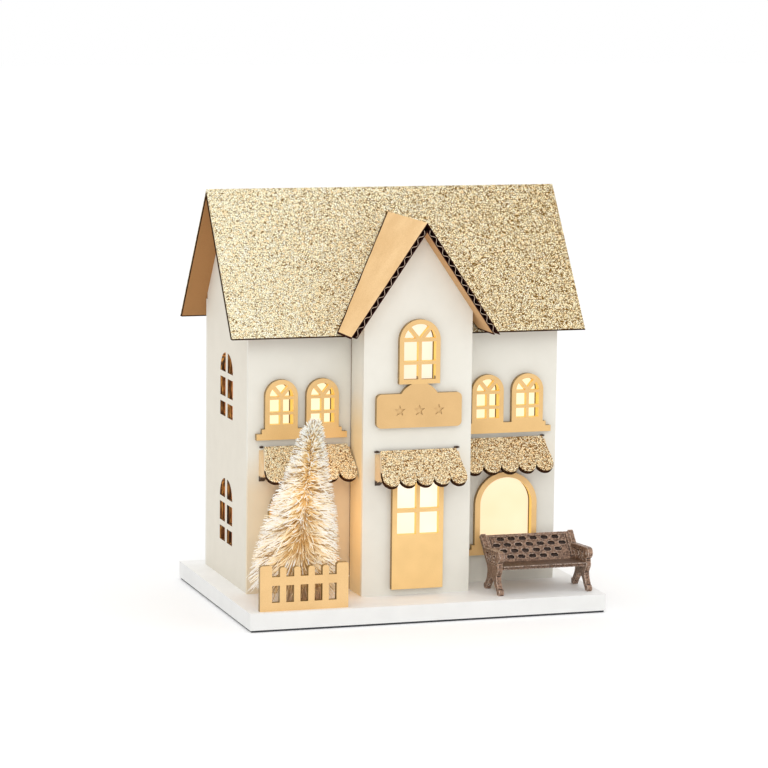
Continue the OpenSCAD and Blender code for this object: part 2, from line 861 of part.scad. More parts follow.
module twin_window(drop) {
  color("goldenrod") translate([window_x, 0, floor_z + twin_sill_z - drop])
    plate_y(wing_y - trim_t, wing_y) twin_frame();
}

module twin_window_right() {
  twin_window(right_drop);
}

module twin_window_left() {
  mirror([1, 0, 0]) twin_window(0);
}

module shop_window_right() {
  color("goldenrod") translate([window_x, 0, floor_z + shop_sill_z])
    plate_y(wing_y - trim_t, wing_y) shop_frame();
}

module shop_window_left() {
  mirror([1, 0, 0]) shop_window_right();
}

module film_right() {
  top = lip_h + step_h;
  low_z = floor_z + shop_sill_z + top + shop_frame_w - rebate - film_lap;
  high_z = floor_z + twin_sill_z + top + twin_h - twin_jamb_w + rebate + film_lap;
  half_w = twin_pitch / 2 + twin_w / 2 - twin_jamb_w + rebate + film_lap;
  color("khaki") box_between([window_x - half_w, wing_back_y, low_z],
    [window_x + half_w, wing_back_y + film_t, high_z]);
}

module film_left() {
  mirror([1, 0, 0]) film_right();
}

module film_bay() {
  low_z = floor_z + door_z + door_panel_h - rebate - film_lap;
  high_z = floor_z + centre_z + centre_h - centre_jamb_w + rebate + film_lap;
  half_w = door_w / 2 - door_stile_w + rebate + film_lap;
  color("khaki") box_between([-half_w, bay_back_y, low_z], [half_w, bay_back_y + film_t, high_z]);
}

// A picket with cut corners, standing on the upper rail
module picket(x, w, h) {
  chamfer = picket_w / 4;
  translate([x, 0]) polygon([
    [0, 0], [w, 0], [w, h - chamfer], [w - chamfer, h], [chamfer, h], [0, h - chamfer]
  ]);
}

module picket_fence() {
  rails_h = low_rail_h + slot_h + high_rail_h;
  pitch = slot_w + picket_w;
  color("goldenrod") translate([fence_x, 0, floor_z]) plate_y(fence_y, fence_y + trim_t) {
    difference() {
      square([fence_w, rails_h]);
      for (i = [0 : slots - 1])
        translate([fence_post_w + i * pitch, low_rail_h]) square([slot_w, slot_h]);
    }
    translate([0, rails_h - over]) {
      for (x = [0, fence_w - fence_post_w]) picket(x, fence_post_w, fence_h - rails_h + over);
      for (i = [1 : slots - 1])
        picket(fence_post_w + i * pitch - picket_w, picket_w, fence_h - rails_h);
    }
  }
}

module tree_foot() {
  color("saddlebrown") difference() {
    translate([tree_x, tree_y, floor_z]) cylinder(d = foot_d, h = foot_h);
    wire_stem(screw_fit);
  }
}

// The wire's bare stem grown by g, from halfway down the foot up to the bend
module wire_stem(g) {
  translate([tree_x, tree_y, floor_z]) rotate([0, -atan2(tree_bend, bend_z), 0])
    translate([0, 0, foot_h / 2 - g])
      cylinder(r = stem_r + g, h = norm([tree_bend, bend_z]) - foot_h / 2 + g);
}

// Puts a piece that stands at its height over the base on the leaning part of the wire
module on_leaning_wire() {
  translate([tree_x - tree_bend, tree_y, floor_z + bend_z]) rotate([0, tree_lean, 0])
    translate([0, 0, -bend_z]) children();
}

module tree_wire() {
  low_z = bend_z - wire_r / 2;
  color("gray") union() {
    wire_stem(0);
    on_leaning_wire() translate([0, 0, low_z]) cylinder(r = wire_r, h = tree_h * bundle_high_share - low_z);
  }
}

// Height up the wire of a row of bristles
bundle_low = tree_h * bundle_low_share;
bundle_high = tree_h * bundle_high_share;
function row_z(k) = bundle_low + (bundle_high - bundle_low) * k / tree_rows;

// How far a bristle may reach towards the back before it meets the awning or the wall
function back_room(z) =
  let (wall = yard_d - tree_back - trim_t - near_gap)
  let (drop = shop_awning_z - z, low = awning_l * cos(awning_angle) + over)
  drop > low + tree_r / 3 ? wall :
  wall + trim_t - trim_t * cos(awning_angle) - max(0, min(drop, low)) * tan(awning_angle) - over;

// How far a bristle may reach towards the front, behind the fence or over it
function front_room(z) =
  let (open_room = tree_back - near_gap)
  z < fence_h + near_gap ? open_room - fence_back - trim_t : open_room;

// Level reach of the strand at the middle angle a in row k
function reach(k, a) =
  let (t = k / tree_rows, tilt = low_tilt + (high_tilt - low_tilt) * t)
  let (free = tree_r * (least_reach_share + (1 - least_reach_share) * (1 - pow(t, tree_bulge)))
    * (1 - ripple_share * (1 + sin(golden_angle * (k * row_strands + a)))))
  let (tip_z = row_z(k) + free * tan(tilt))
  let (back = back_room(row_z(k)) / max(sin(a), ripple_share))
  let (front = front_room(min(tip_z, row_z(k))) / max(-sin(a), ripple_share))
  min(free, back, front);

function ring_point(k, i) =
  let (a = 360 * (i + k / 2) / row_strands)
  [bundle_r * cos(a), bundle_r * sin(a), row_z(k)];

// The three points at the tip of the strand that stands on the triangle i of row k
function tip_points(k, i) =
  let (base = [ring_point(k, i), ring_point(k, i + 1), ring_point(k + 1, i)])
  let (mid = (base[0] + base[1] + base[2]) / 3, a = atan2(mid[1], mid[0]))
  let (t = k / tree_rows, tilt = low_tilt + (high_tilt - low_tilt) * t, l = reach(k, a))
  let (tip = [l * cos(a), l * sin(a), mid[2] + l * tan(tilt)])
  [for (p = base) tip + (p - mid) * tip_share];

module tree_bristles() {
  n = row_strands;
  bore_r = wire_r / cos(180 / n) + screw_fit;
  outer = [for (k = [0 : tree_rows], i = [0 : n - 1]) ring_point(k, i)];
  inner = [
    for (z = [bundle_low, bundle_high], i = [0 : n - 1])
      [bore_r * cos(360 * i / n), bore_r * sin(360 * i / n), z]
  ];
  tips = [for (k = [0 : tree_rows - 1], i = [0 : n - 1]) each tip_points(k, i)];
  in0 = len(outer);
  tip0 = in0 + 2 * n;
  top = tree_rows * n;
  half = tree_rows / 2;
  faces = [
    // The gap triangle beside each strand, then the strand's three sides and its tip
    for (k = [0 : tree_rows - 1], i = [0 : n - 1])
      let (a = k * n + i, b = k * n + (i + 1) % n, c = (k + 1) * n + i, d = (k + 1) * n + (i + 1) % n)
      let (t = tip0 + 3 * (k * n + i))
      each [
        [b, c, d], [t, t + 2, t + 1],
        [a, t, t + 1], [a, t + 1, b], [b, t + 1, t + 2], [b, t + 2, c], [c, t + 2, t], [c, t, a]
      ],
    // The bore
    for (i = [0 : n - 1])
      let (j = (i + 1) % n)
      each [[in0 + i, in0 + j, in0 + n + j], [in0 + i, in0 + n + j, in0 + n + i]],
    // The two ends
    for (i = [0 : n - 1])
      let (j = (i + 1) % n, u = (i + n - half % n) % n, v = (j + n - half % n) % n)
      each [
        [i, j, in0 + j], [i, in0 + j, in0 + i],
        [top + u, in0 + n + i, in0 + n + j], [top + u, in0 + n + j, top + v]
      ]
  ];
  color("antiquewhite") on_leaning_wire()
    polyhedron(points = concat(outer, inner, tips), faces = [for (f = faces) [f[2], f[1], f[0]]]);
}

// The back of the bench, from its foot up its slope, between two places along X
seat_back_y = bench_y + bench_d * seat_depth_share;
seat_back_z = floor_z + seat_h * (1 - seat_fall_share);
module back_slab(x0, x1, l, t) {
  translate([0, seat_back_y, seat_back_z - plate_t]) rotate([-bench_lean, 0, 0])
    box_between([x0, -t, 0], [x1, 0, l]);
}

// A slot with round ends
module oval(w, h) {
  square([w - h, h], center = true);
  for (side = [-1, 1]) translate([side * (w - h) / 2, 0]) circle(d = h);
}

module bench_back_plate() {
  half = bench_len / 2 - end_t;
  hole_pitch = 2 * half * hole_pitch_share;
  color("dimgray") union() {
    difference() {
      back_slab(bench_x - half, bench_x + half, bench_back_l, plate_t);
      translate([bench_x, seat_back_y, seat_back_z - plate_t]) rotate([-bench_lean, 0, 0])
        translate([0, hole_depth - plate_t, back_rim])
          for (row = [0 : len(row_holes) - 1], i = [0 : row_holes[row] - 1])
            translate([(i - (row_holes[row] - 1) / 2) * hole_pitch, 0, row * row_pitch])
              rotate([90, 0, 0]) linear_extrude(height = hole_depth + over) oval(hole_w, hole_h);
    }
    difference() {
      back_slab(bench_x - half, bench_x + half, bench_back_l, rim_t);
      back_slab(bench_x - half + rim_w, bench_x + half - rim_w, bench_back_l - rim_w, rim_t + over);
      back_slab(bench_x - half - over, bench_x + half + over, rim_foot, rim_t + over);
    }
  }
}

module bench_seat() {
  half = bench_len / 2 - end_t;
  front = bench_y + end_t / 3;
  back_edge = seat_back_y - plate_t / cos(bench_lean) - glue_t;
  color("dimgray") plate_x(bench_x - half, bench_x + half, [
    [front, floor_z + seat_h], [front, floor_z + seat_h - plate_t],
    [back_edge, seat_back_z - plate_t], [back_edge + plate_t * tan(bench_lean), seat_back_z]
  ]);
}

// A ring with a smaller ring inside it to one side, standing across a bench end
module curl(x0, y, z, r) {
  translate([x0, y, z]) rotate([90, 0, 90]) {
    difference() {
      cylinder(r = r, h = end_t);
      translate([0, 0, -over]) cylinder(r = r - arm_ring_t, h = end_t + 2 * over);
    }
    translate([r * curl_off_share, -r * curl_off_share / 2, 0]) difference() {
      cylinder(r = r * curl_share, h = end_t);
      translate([0, 0, -over]) cylinder(r = r * curl_share - arm_ring_t, h = end_t + 2 * over);
    }
  }
}

module bench_end(x0) {
  scroll_r = bench_d * scroll_share;
  toe_r = bench_d * toe_share;
  arm_z = floor_z + arm_h;
  arm_low_z = arm_z - arm_fall;
  arm_back = seat_back_y + (arm_low_z - seat_back_z) * tan(bench_lean);
  ring_z = (floor_z + seat_h + arm_z - arm_t - arm_fall / 2) / 2;
  color("dimgray") union() {
    plate_x(x0, x0 + end_t, [for (p = leg_shares) [bench_y + p[0] * bench_d, floor_z + p[1] * seat_h]]);
    back_slab(x0, x0 + end_t, bench_back_l + plate_t / 4, plate_t + plate_t / 2);
    plate_x(x0, x0 + end_t, [
      [bench_y + scroll_r, arm_z], [arm_back, arm_low_z], [arm_back, arm_low_z - arm_t],
      [bench_y + scroll_r, arm_z - arm_t]
    ]);
    translate([x0, bench_y + scroll_r, arm_z - scroll_r]) rotate([90, 0, 90]) difference() {
      cylinder(r = scroll_r, h = end_t);
      translate([0, 0, -over]) cylinder(r = scroll_r * scroll_eye_share, h = end_t + 2 * over);
    }
    box_between([x0, bench_y + scroll_r, floor_z + seat_h - over],
      [x0 + end_t, bench_y + scroll_r + arm_t, arm_z - scroll_r / 2]);
    for (share = ring_shares) curl(x0, bench_y + share * bench_d, ring_z, arm_ring_r);
    for (y = [toe_r, bench_d - toe_r])
      translate([x0, bench_y + y, floor_z + toe_r]) rotate([90, 0, 90]) cylinder(r = toe_r, h = end_t);
  }
}

module bench_end_left() {
  bench_end(bench_x - bench_len / 2);
}

module bench_end_right() {
  bench_end(bench_x + bench_len / 2 - end_t);
}

// The seat that the cover goes up into, half as deep as the box's walls, less g on each side
module cover_space(g) {
  seat = box_wall * seat_share;
  room_y = box_room_w / 2;
  box_between([cell_x0 - seat + g, g - room_y - seat, cover_lift - (g == 0 ? over : 0)],
    [room_x1 + seat - g, room_y + seat - g, cover_z]);
}

module battery_box() {
  half_l = box_l / 2;
  half_w = box_w / 2;
  room_y = box_room_w / 2;
  slot_l = knob_l + switch_travel + 2 * fit;
  slot_w = knob_w + 2 * fit;
  switch_low = cover_lift + box_wall;
  color("whitesmoke") translate([0, box_y, 0]) difference() {
    union() {
      difference() {
        union() {
          box_between([-half_l, -half_w, cover_lift], [half_l, half_w, box_top_z]);
          box_between([-half_l - flange_w, -half_w - flange_w, floor_z],
            [half_l + flange_w, half_w + flange_w, floor_z + flange_t]);
          for (x = [-post_x, post_x])
            translate([x, 0, box_top_z - over]) cylinder(r = post_r, h = post_h + over);
        }
        box_between([cell_x0, -room_y, -over], [room_x1, room_y, box_roof_z]);
        cover_space(0);
        box_between([switch_x0, -room_y, switch_low], [switch_x0 + switch_room, room_y, box_roof_z]);
      }
      translate([screw_x, 0, cover_z]) cylinder(r = boss_r, h = box_roof_z - cover_z + over);
    }
    translate([screw_x, 0, cover_z - over]) cylinder(r = screw_r + screw_fit, h = screw_l + over);
    translate([switch_x - slot_l / 2, -slot_w / 2, -over]) cube([slot_l, slot_w, switch_low + 2 * over]);
    for (x = [-post_x, post_x])
      translate([x, 0, board_z - post_h / 2]) cylinder(r = screw_r + screw_fit, h = post_h / 2 + over);
  }
}

// One contact: a plate with either a spring or a flat seat, facing +X
module contact(y, w) {
  translate([0, y - w / 2, cell_z - cell_d / 3]) cube([contact_t, w, cell_d * 2 / 3]);
}

module spring(y, l) {
  translate([0, y, cell_z]) rotate([0, 90, 0]) difference() {
    cylinder(d = spring_d, h = l);
    translate([0, 0, contact_t]) cylinder(d = spring_d - 2 * contact_t, h = l);
  }
}

module cell_contacts() {
  plate_w = cell_d * 2 / 3;
  color("silver") translate([cell_x0, box_y, 0]) {
    contact(-cell_y, plate_w);
    spring(-cell_y, contact_t + spring_l);
    contact(cell_y, plate_w);
    translate([cell_room, 0, 0]) mirror([1, 0, 0]) {
      contact(0, 2 * cell_y + plate_w);
      spring(cell_y, contact_t + spring_l);
    }
  }
}

// One cell with its flat end at x0, its nub towards dir
module cell(x0, dir, y) {
  translate([x0, y, cell_z]) rotate([0, dir * 90, 0]) {
    cylinder(d = cell_d, h = cell_l);
    translate([0, 0, cell_l - over]) cylinder(d = nub_d, h = nub_l + over);
  }
}

module battery_cells() {
  color("steelblue") translate([0, box_y, 0]) {
    cell(cell_x0 + contact_t + spring_l, 1, -cell_y);
    cell(cell_x1 - contact_t - spring_l, -1, cell_y);
  }
}

module battery_cover() {
  dimple_r = cell_d * dimple_share;
  color("whitesmoke") translate([0, box_y, 0]) difference() {
    cover_space(fit);
    translate([screw_x, 0, cover_lift - over]) cylinder(r = head_r + fit, h = counterbore + over);
    translate([screw_x, 0, cover_lift - over]) cylinder(r = screw_r + screw_fit, h = cover_t + 2 * over);
    translate([cell_x0 + dimple_r + cell_gap, 0, cover_lift - over])
      cylinder(r = dimple_r, h = over + cover_t / 4);
  }
}

module cover_screw() {
  head_z = cover_lift + counterbore - head_t;
  slot = head_r * slot_width_share;
  color("silver") translate([screw_x, box_y, head_z]) difference() {
    union() {
      cylinder(r = head_r, h = head_t);
      cylinder(r = screw_r, h = head_t + screw_l);
    }
    for (turn = [0, 90])
      rotate(turn) translate([-head_r * slot_length_share, -slot, -over])
        cube([2 * head_r * slot_length_share, 2 * slot, over + head_t / 2]);
  }
}

// The slider's space, from its off place as far as travel, grown by g
module knob_space(travel, g) {
  x0 = switch_x - (knob_l + switch_travel) / 2;
  foot_z = cover_lift + box_wall;
  translate([x0 - g, box_y - knob_w / 2 - g, knob_z])
    cube([knob_l + travel + 2 * g, knob_w + 2 * g, foot_z - knob_z + over]);
  translate([x0 - knob_foot_out - g, box_y - knob_w / 2 - knob_foot_out - g, foot_z - g + fit])
    cube([knob_l + travel + 2 * (knob_foot_out + g), knob_w + 2 * (knob_foot_out + g), knob_foot_h + 2 * g]);
}

module switch_body() {
  half_l = (knob_l + switch_travel) / 2 + knob_foot_out + fit + switch_wall;
  z0 = cover_lift + box_wall;
  color("dimgray") difference() {
    box_between([switch_x - half_l, box_y - switch_w / 2, z0],
      [switch_x + half_l, box_y + switch_w / 2, z0 + switch_h]);
    knob_space(switch_travel, fit);
  }
}

module switch_slider() {
  color("black") knob_space(0, 0);
}

module lamp_board() {
  color("darkgreen") translate([0, box_y, board_z]) difference() {
    translate([-board_l / 2, -board_w / 2, 0]) cube([board_l, board_w, board_t]);
    for (x = [-post_x, post_x])
      translate([x, 0, -over]) cylinder(r = screw_r + fit, h = board_t + 2 * over);
  }
}

module board_screws() {
  color("silver") for (x = [-post_x, post_x])
    translate([x, box_y, board_z + board_t]) {
      cylinder(r = head_r, h = head_t);
      translate([0, 0, -board_t - post_h / 3]) cylinder(r = screw_r, h = board_t + post_h / 3 + over / 2);
    }
}

module lamps() {
  color("lightyellow") for (i = [-1 : 1])
    translate([i * lamp_pitch, box_y, board_z + board_t]) {
      cylinder(r = lamp_r + lamp_rim, h = lamp_r * rim_share);
      cylinder(r = lamp_r, h = lamp_h);
      translate([0, 0, lamp_h]) sphere(r = lamp_r);
    }
}

module resistor() {
  color("tan") translate([resistor_x - resistor_l / 2, box_y + resistor_y, board_z + board_t + resistor_r])
    rotate([0, 90, 0]) cylinder(r = resistor_r, h = resistor_l);
}

// Direction of the lead's route at point i, as an angle in the upright plane along X
function route_angle(i) =
  let (a = lead_route[max(i - 1, 0)], b = lead_route[min(i + 1, len(lead_route) - 1)])
  atan2(b[1] - a[1], b[0] - a[0]);

// One wire of the lead, swept along the route with a ring square to it at each point
module lead_wire(y) {
  last = len(lead_route) - 1;
  rise = post_h / lead_route[last][1];
  points = [
    for (i = [0 : last], s = [0 : lead_sides - 1])
      let (turn = route_angle(i) + 90, a = 360 * s / lead_sides)
      [lead_route[i][0] + lead_r * cos(a) * cos(turn), y + lead_r * sin(a),
        box_top_z + lead_route[i][1] * rise + lead_r * cos(a) * sin(turn)]
  ];
  n = lead_sides;
  faces = [
    for (i = [0 : last - 1], s = [0 : n - 1])
      let (a = i * n + s, b = i * n + (s + 1) % n)
      each [[a, b, b + n], [a, b + n, a + n]],
    for (s = [1 : n - 2]) each [[0, s + 1, s], [last * n, last * n + s, last * n + s + 1]]
  ];
  polyhedron(points = points, faces = faces);
}

module lamp_leads() {
  color("firebrick") translate([0, box_y, 0]) for (s = [-1, 1]) lead_wire(s * lead_pitch / 2);
}

base_board();
base_underlay();
left_wall();
right_wall();
back_wall();
wing_wall_left();
wing_wall_right();
bay_front();
bay_side_left();
bay_side_right();
roof_front_panel();
roof_back_panel();
gable_roof_left();
gable_roof_right();
door_awning();
shop_awning_left();
shop_awning_right();
door_awning_cheeks();
shop_awning_left_cheeks();
shop_awning_right_cheeks();
door();
centre_window();
sign_plate();
twin_window_left();
twin_window_right();
shop_window_left();
shop_window_right();
film_left();
film_right();
film_bay();
picket_fence();
tree_foot();
tree_wire();
tree_bristles();
bench_back_plate();
bench_seat();
bench_end_left();
bench_end_right();
battery_box();
cell_contacts();
battery_cells();
battery_cover();
cover_screw();
switch_body();
switch_slider();
lamp_board();
board_screws();
lamps();
resistor();
lamp_leads();
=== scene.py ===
import random
from math import acos, atan, cos, pi, radians, sin, sqrt, tan, tau

import bpy
from mathutils import Matrix, Vector


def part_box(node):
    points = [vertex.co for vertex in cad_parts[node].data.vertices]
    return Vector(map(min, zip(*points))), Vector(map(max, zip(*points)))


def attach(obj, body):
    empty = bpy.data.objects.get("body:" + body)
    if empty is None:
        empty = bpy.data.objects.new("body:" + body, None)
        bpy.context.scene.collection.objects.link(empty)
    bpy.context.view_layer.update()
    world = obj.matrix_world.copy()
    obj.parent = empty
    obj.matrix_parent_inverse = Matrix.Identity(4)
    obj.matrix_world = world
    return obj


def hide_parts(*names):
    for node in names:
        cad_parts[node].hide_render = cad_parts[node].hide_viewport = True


MM = 0.001
BLACK = (0, 0, 0)
WHITE = (1, 1, 1)

# Camera, floor and light

CAMERA_PLACE = (-0.563367, -1.69983, 0.375776)
CAMERA_YAW = 0.318
CAMERA_PITCH = -0.143
CAMERA_ROLL = 0.012
CAMERA_LENS = 154.58
SENSOR_WIDTH = 36.0
NEAREST_SEEN = 0.1
FARTHEST_SEEN = 20
FLOOR_HALF = 6.0
FLOOR_DROP = 0.0002
FLOOR_WHITE = (0.93, 0.93, 0.93)
FLOOR_GLOW = 0.08
STUDIO_WHITE = 1.0
LIT_POINT = (0, 0, 0.1)
# Each lamp's name, place, target, size, power in watts and colour.
STUDIO_LAMPS = [
    ("key", (-0.9, -2.2, 1.5), LIT_POINT, (1.2, 1.2), 11, (1, 0.99, 0.97)),
    ("fill", (1.8, -1.4, 0.9), LIT_POINT, (1.4, 1.4), 4, WHITE),
]


def camera_matrix():
    """The camera's place and turn, as fitted to the straight edges in the photograph."""
    forward = Vector((
        sin(CAMERA_YAW) * cos(CAMERA_PITCH),
        cos(CAMERA_YAW) * cos(CAMERA_PITCH),
        sin(CAMERA_PITCH),
    ))
    level = Vector((cos(CAMERA_YAW), -sin(CAMERA_YAW), 0))
    above = level.cross(forward)
    right = level * cos(CAMERA_ROLL) + above * sin(CAMERA_ROLL)
    up = above * cos(CAMERA_ROLL) - level * sin(CAMERA_ROLL)
    turn = Matrix((right, up, -forward)).transposed()
    return Matrix.Translation(CAMERA_PLACE) @ turn.to_4x4()


def add_camera():
    data = bpy.data.cameras.new("camera")
    data.lens = CAMERA_LENS
    data.sensor_width = SENSOR_WIDTH
    data.clip_start = NEAREST_SEEN
    data.clip_end = FARTHEST_SEEN
    camera = bpy.data.objects.new("camera", data)
    camera.matrix_world = camera_matrix()
    bpy.context.scene.collection.objects.link(camera)
    bpy.context.scene.camera = camera


def add_area(name, spot, target, size, power, colour):
    """A lamp that lights up from spot to target and isn't seen by the camera itself."""
    data = bpy.data.lights.new(name, "AREA")
    data.shape = "RECTANGLE"
    data.size = size[0]
    data.size_y = size[1]
    data.energy = power
    data.color = colour
    lamp = bpy.data.objects.new(name, data)
    lamp.location = spot
    lamp.rotation_mode = "QUATERNION"
    lamp.rotation_quaternion = (Vector(target) - Vector(spot)).to_track_quat("-Z", "Y")
    lamp.visible_camera = False
    bpy.context.scene.collection.objects.link(lamp)


def add_studio():
    """An evenly white surrounding and two large soft lamps in front."""
    world = bpy.data.worlds.new("studio")
    world.use_nodes = True
    back = world.node_tree.nodes["Background"]
    back.inputs["Color"].default_value = rgba(WHITE)
    back.inputs["Strength"].default_value = STUDIO_WHITE
    bpy.context.scene.world = world
    bpy.context.scene.view_settings.view_transform = "Standard"
    for lamp in STUDIO_LAMPS:
        add_area(*lamp)


def add_floor():
    """A white floor just under the base."""
    half = FLOOR_HALF
    corners = [(-half, -half), (half, -half), (half, half), (-half, half)]
    mesh = bpy.data.meshes.new("floor")
    mesh.from_pydata([(x, y, -FLOOR_DROP) for x, y in corners], [], [(0, 1, 2, 3)])
    floor = bpy.data.objects.new("floor", mesh)
    bpy.context.scene.collection.objects.link(floor)
    material, tree, shader = new_material("floor_white")
    shader.inputs["Base Color"].default_value = rgba(FLOOR_WHITE)
    shader.inputs["Emission Color"].default_value = rgba(WHITE)
    shader.inputs["Emission Strength"].default_value = FLOOR_GLOW
    finish_of(shader, 0.9, 0.1)
    mesh.materials.append(material)


# Shader helpers


def add(tree, kind, values=(), **settings):
    """A new node with its settings, and its inputs set to numbers or linked to sockets."""
    made = tree.nodes.new("ShaderNode" + kind)
    for key, value in settings.items():
        setattr(made, key, value)
    for key, value in dict(values).items():
        if isinstance(value, bpy.types.NodeSocket):
            tree.links.new(value, made.inputs[key])
        else:
            made.inputs[key].default_value = value
    return made


def new_material(name):
    material = bpy.data.materials.new(name)
    material.use_nodes = True
    tree = material.node_tree
    return material, tree, tree.nodes["Principled BSDF"]


def rgba(colour):
    return (colour[0], colour[1], colour[2], 1)


def math_node(tree, operation, a, b=0.0, clamp=False):
    return add(tree, "Math", {0: a, 1: b}, operation=operation, use_clamp=clamp).outputs[0]


def either(tree, a, b):
    """1 where one of two masks is 1."""
    return math_node(tree, "ADD", a, b, True)


def both(tree, a, b):
    """1 where two masks are 1."""
    return math_node(tree, "MULTIPLY", a, b)


def but_not(tree, a):
    """The reverse of a mask."""
    return math_node(tree, "SUBTRACT", 1.0, a, True)


def place(tree, scale=(1, 1, 1), turn=(0, 0, 0)):
    """The place on the object, in its own metres, stretched by scale."""
    coords = add(tree, "TexCoord").outputs["Object"]
    mapping = add(tree, "Mapping", {"Vector": coords})
    mapping.inputs["Scale"].default_value = scale
    mapping.inputs["Rotation"].default_value = turn
    return mapping.outputs[0]


def along(tree, axis):
    """The place on the object along one axis, in metres: 0 is X, 1 is Y and 2 is Z."""
    coords = add(tree, "TexCoord").outputs["Object"]
    return add(tree, "SeparateXYZ", {"Vector": coords}).outputs[axis]


def along_vector(tree, axis):
    """The place on the object along any unit vector, in metres."""
    coords = add(tree, "TexCoord").outputs["Object"]
    return add(tree, "VectorMath", {0: coords, 1: axis}, operation="DOT_PRODUCT").outputs["Value"]


def higher_than(tree, z):
    """1 where the place on the object is above z."""
    return math_node(tree, "GREATER_THAN", along(tree, 2), z)


def within(tree, value, low, high):
    """1 where value is between low and high."""
    values = {0: value, 1: (low + high) / 2, 2: (high - low) / 2}
    return add(tree, "Math", values, operation="COMPARE").outputs[0]


def in_spans(tree, axis, spans):
    """1 where the place along axis is in one of the spans (low, high)."""
    value = along(tree, axis)
    mask = within(tree, value, *spans[0])
    for span in spans[1:]:
        mask = either(tree, mask, within(tree, value, *span))
    return mask


def in_arches(tree, arches):
    """1 inside any of the upright round-topped outlines (centre x, spring z, half width, low z)."""
    x, z = along(tree, 0), along(tree, 2)
    mask = 0.0
    for centre, spring, half, low in arches:
        aside = math_node(tree, "SUBTRACT", x, centre)
        above = math_node(tree, "MAXIMUM", math_node(tree, "SUBTRACT", z, spring), 0.0)
        square = math_node(tree, "ADD", both(tree, aside, aside), both(tree, above, above))
        inside = math_node(tree, "LESS_THAN", square, half * half)
        inside = both(tree, inside, math_node(tree, "GREATER_THAN", z, low))
        mask = either(tree, mask, inside)
    return mask


def noise(tree, size_mm, detail=2.0, rough=0.5, scale=(1, 1, 1)):
    """Cloudy noise whose blobs are about size_mm wide."""
    values = {"Vector": place(tree, scale), "Scale": 1 / (size_mm * MM)}
    values.update({"Detail": detail, "Roughness": rough})
    return add(tree, "TexNoise", values).outputs["Fac"]


def cells(tree, size_mm, feature="F1", randomness=1.0, turn=(0, 0, 0)):
    """Voronoi cells about size_mm wide."""
    values = {"Vector": place(tree, turn=turn), "Scale": 1 / (size_mm * MM), "Randomness": randomness}
    return add(tree, "TexVoronoi", values, feature=feature)


def ramp(tree, value, stops):
    """A colour for each value, from a list of (value, colour)."""
    made = add(tree, "ValToRGB", {"Fac": value})
    elements = made.color_ramp.elements
    elements[0].position = stops[0][0]
    elements[0].color = rgba(stops[0][1])
    elements[1].position = stops[-1][0]
    elements[1].color = rgba(stops[-1][1])
    for position, colour in stops[1:-1]:
        elements.new(position).color = rgba(colour)
    return made.outputs["Color"]


def span_value(tree, value, low, high, to_low=0.0, to_high=1.0):
    """value, stretched so that low to high becomes to_low to to_high."""
    values = {"Value": value, "From Min": low, "From Max": high, "To Min": to_low, "To Max": to_high}
    return add(tree, "MapRange", values).outputs[0]


def mix(tree, amount, a, b, blend="MIX"):
    """Colour a turning to b as amount goes from 0 to 1."""
    made = add(tree, "Mix", data_type="RGBA", blend_type=blend)
    factor, first, second = 0, 6, 7
    for key, value in ((factor, amount), (first, a), (second, b)):
        if isinstance(value, bpy.types.NodeSocket):
            tree.links.new(value, made.inputs[key])
        else:
            made.inputs[key].default_value = value if key == factor else rgba(value)
    return made.outputs[2]


def times(tree, a, b):
    """Two colours multiplied."""
    return mix(tree, 1.0, a, b, "MULTIPLY")


def facing(tree, axis, least=0.7):
    """1 where the surface faces along axis, 0 elsewhere."""
    normal = add(tree, "NewGeometry").outputs["True Normal"]
    dot = add(tree, "VectorMath", {0: normal, 1: axis}, operation="DOT_PRODUCT")
    return math_node(tree, "GREATER_THAN", dot.outputs["Value"], least)


def reverse(axis):
    return tuple(-value for value in axis)


def facing_both(tree, axis, least=0.7):
    """1 where the surface faces along axis or against it."""
    return either(tree, facing(tree, axis, least), facing(tree, reverse(axis), least))


def bump(tree, shader, height, strength, distance_mm):
    """Fine relief that is distance_mm high."""
    values = {"Height": height, "Strength": strength, "Distance": distance_mm * MM}
    made = add(tree, "Bump", values)
    tree.links.new(made.outputs[0], shader.inputs["Normal"])


def finish_of(shader, roughness, specular=None, metallic=None):
    """Sets the finish that is the same all over a surface."""
    values = {"Roughness": roughness, "Specular IOR Level": specular, "Metallic": metallic}
    for name, value in values.items():
        if value is not None:
            shader.inputs[name].default_value = value


def paint(tree, shader, colour):
    tree.links.new(colour, shader.inputs["Base Color"])


def glow(tree, shader, colour, strength=1.0):
    tree.links.new(colour, shader.inputs["Emission Color"])
    shader.inputs["Emission Strength"].default_value = strength


# Materials. Stops are pairs of a position and a colour.

KRAFT_STOPS = [(0.3, (0.335, 0.168, 0.066)), (0.7, (0.46, 0.24, 0.10))]
BURNT = (0.022, 0.01, 0.006)
BURNT_LIGHT = (0.075, 0.036, 0.018)
STREAK_STOPS = [(0.40, (0.016, 0.006, 0.003)), (0.54, (0.15, 0.06, 0.014)), (0.70, (0.74, 0.42, 0.12))]
WALL_STOPS = [(0.35, (0.755, 0.732, 0.658)), (0.65, (0.775, 0.752, 0.678))]
# Painted shade: the side walls' card is a darker copy of the front walls' card.
SIDE_PAINTED_SHADE = (0.955, 0.925, 0.89)
# Painted light: the bay's left side is a lighter copy of the card.
BAY_PAINTED_LIGHT = (1.07, 1.07, 1.06)
SEAM_DARK = (0.20, 0.115, 0.055)
# Painted warm light: the lit films' and lamps' orange glow, painted into the card low on the bay's left
# side and the left wing.
PAINTED_WARM_LIGHT = (1.0, 0.89, 0.67)
WING_PAINTED_WARM_LIGHT = (1.0, 0.90, 0.75)
WARM_BLEND = 0.02

ROOF_HALF_W = 0.094
GRAIN_MM = 0.92
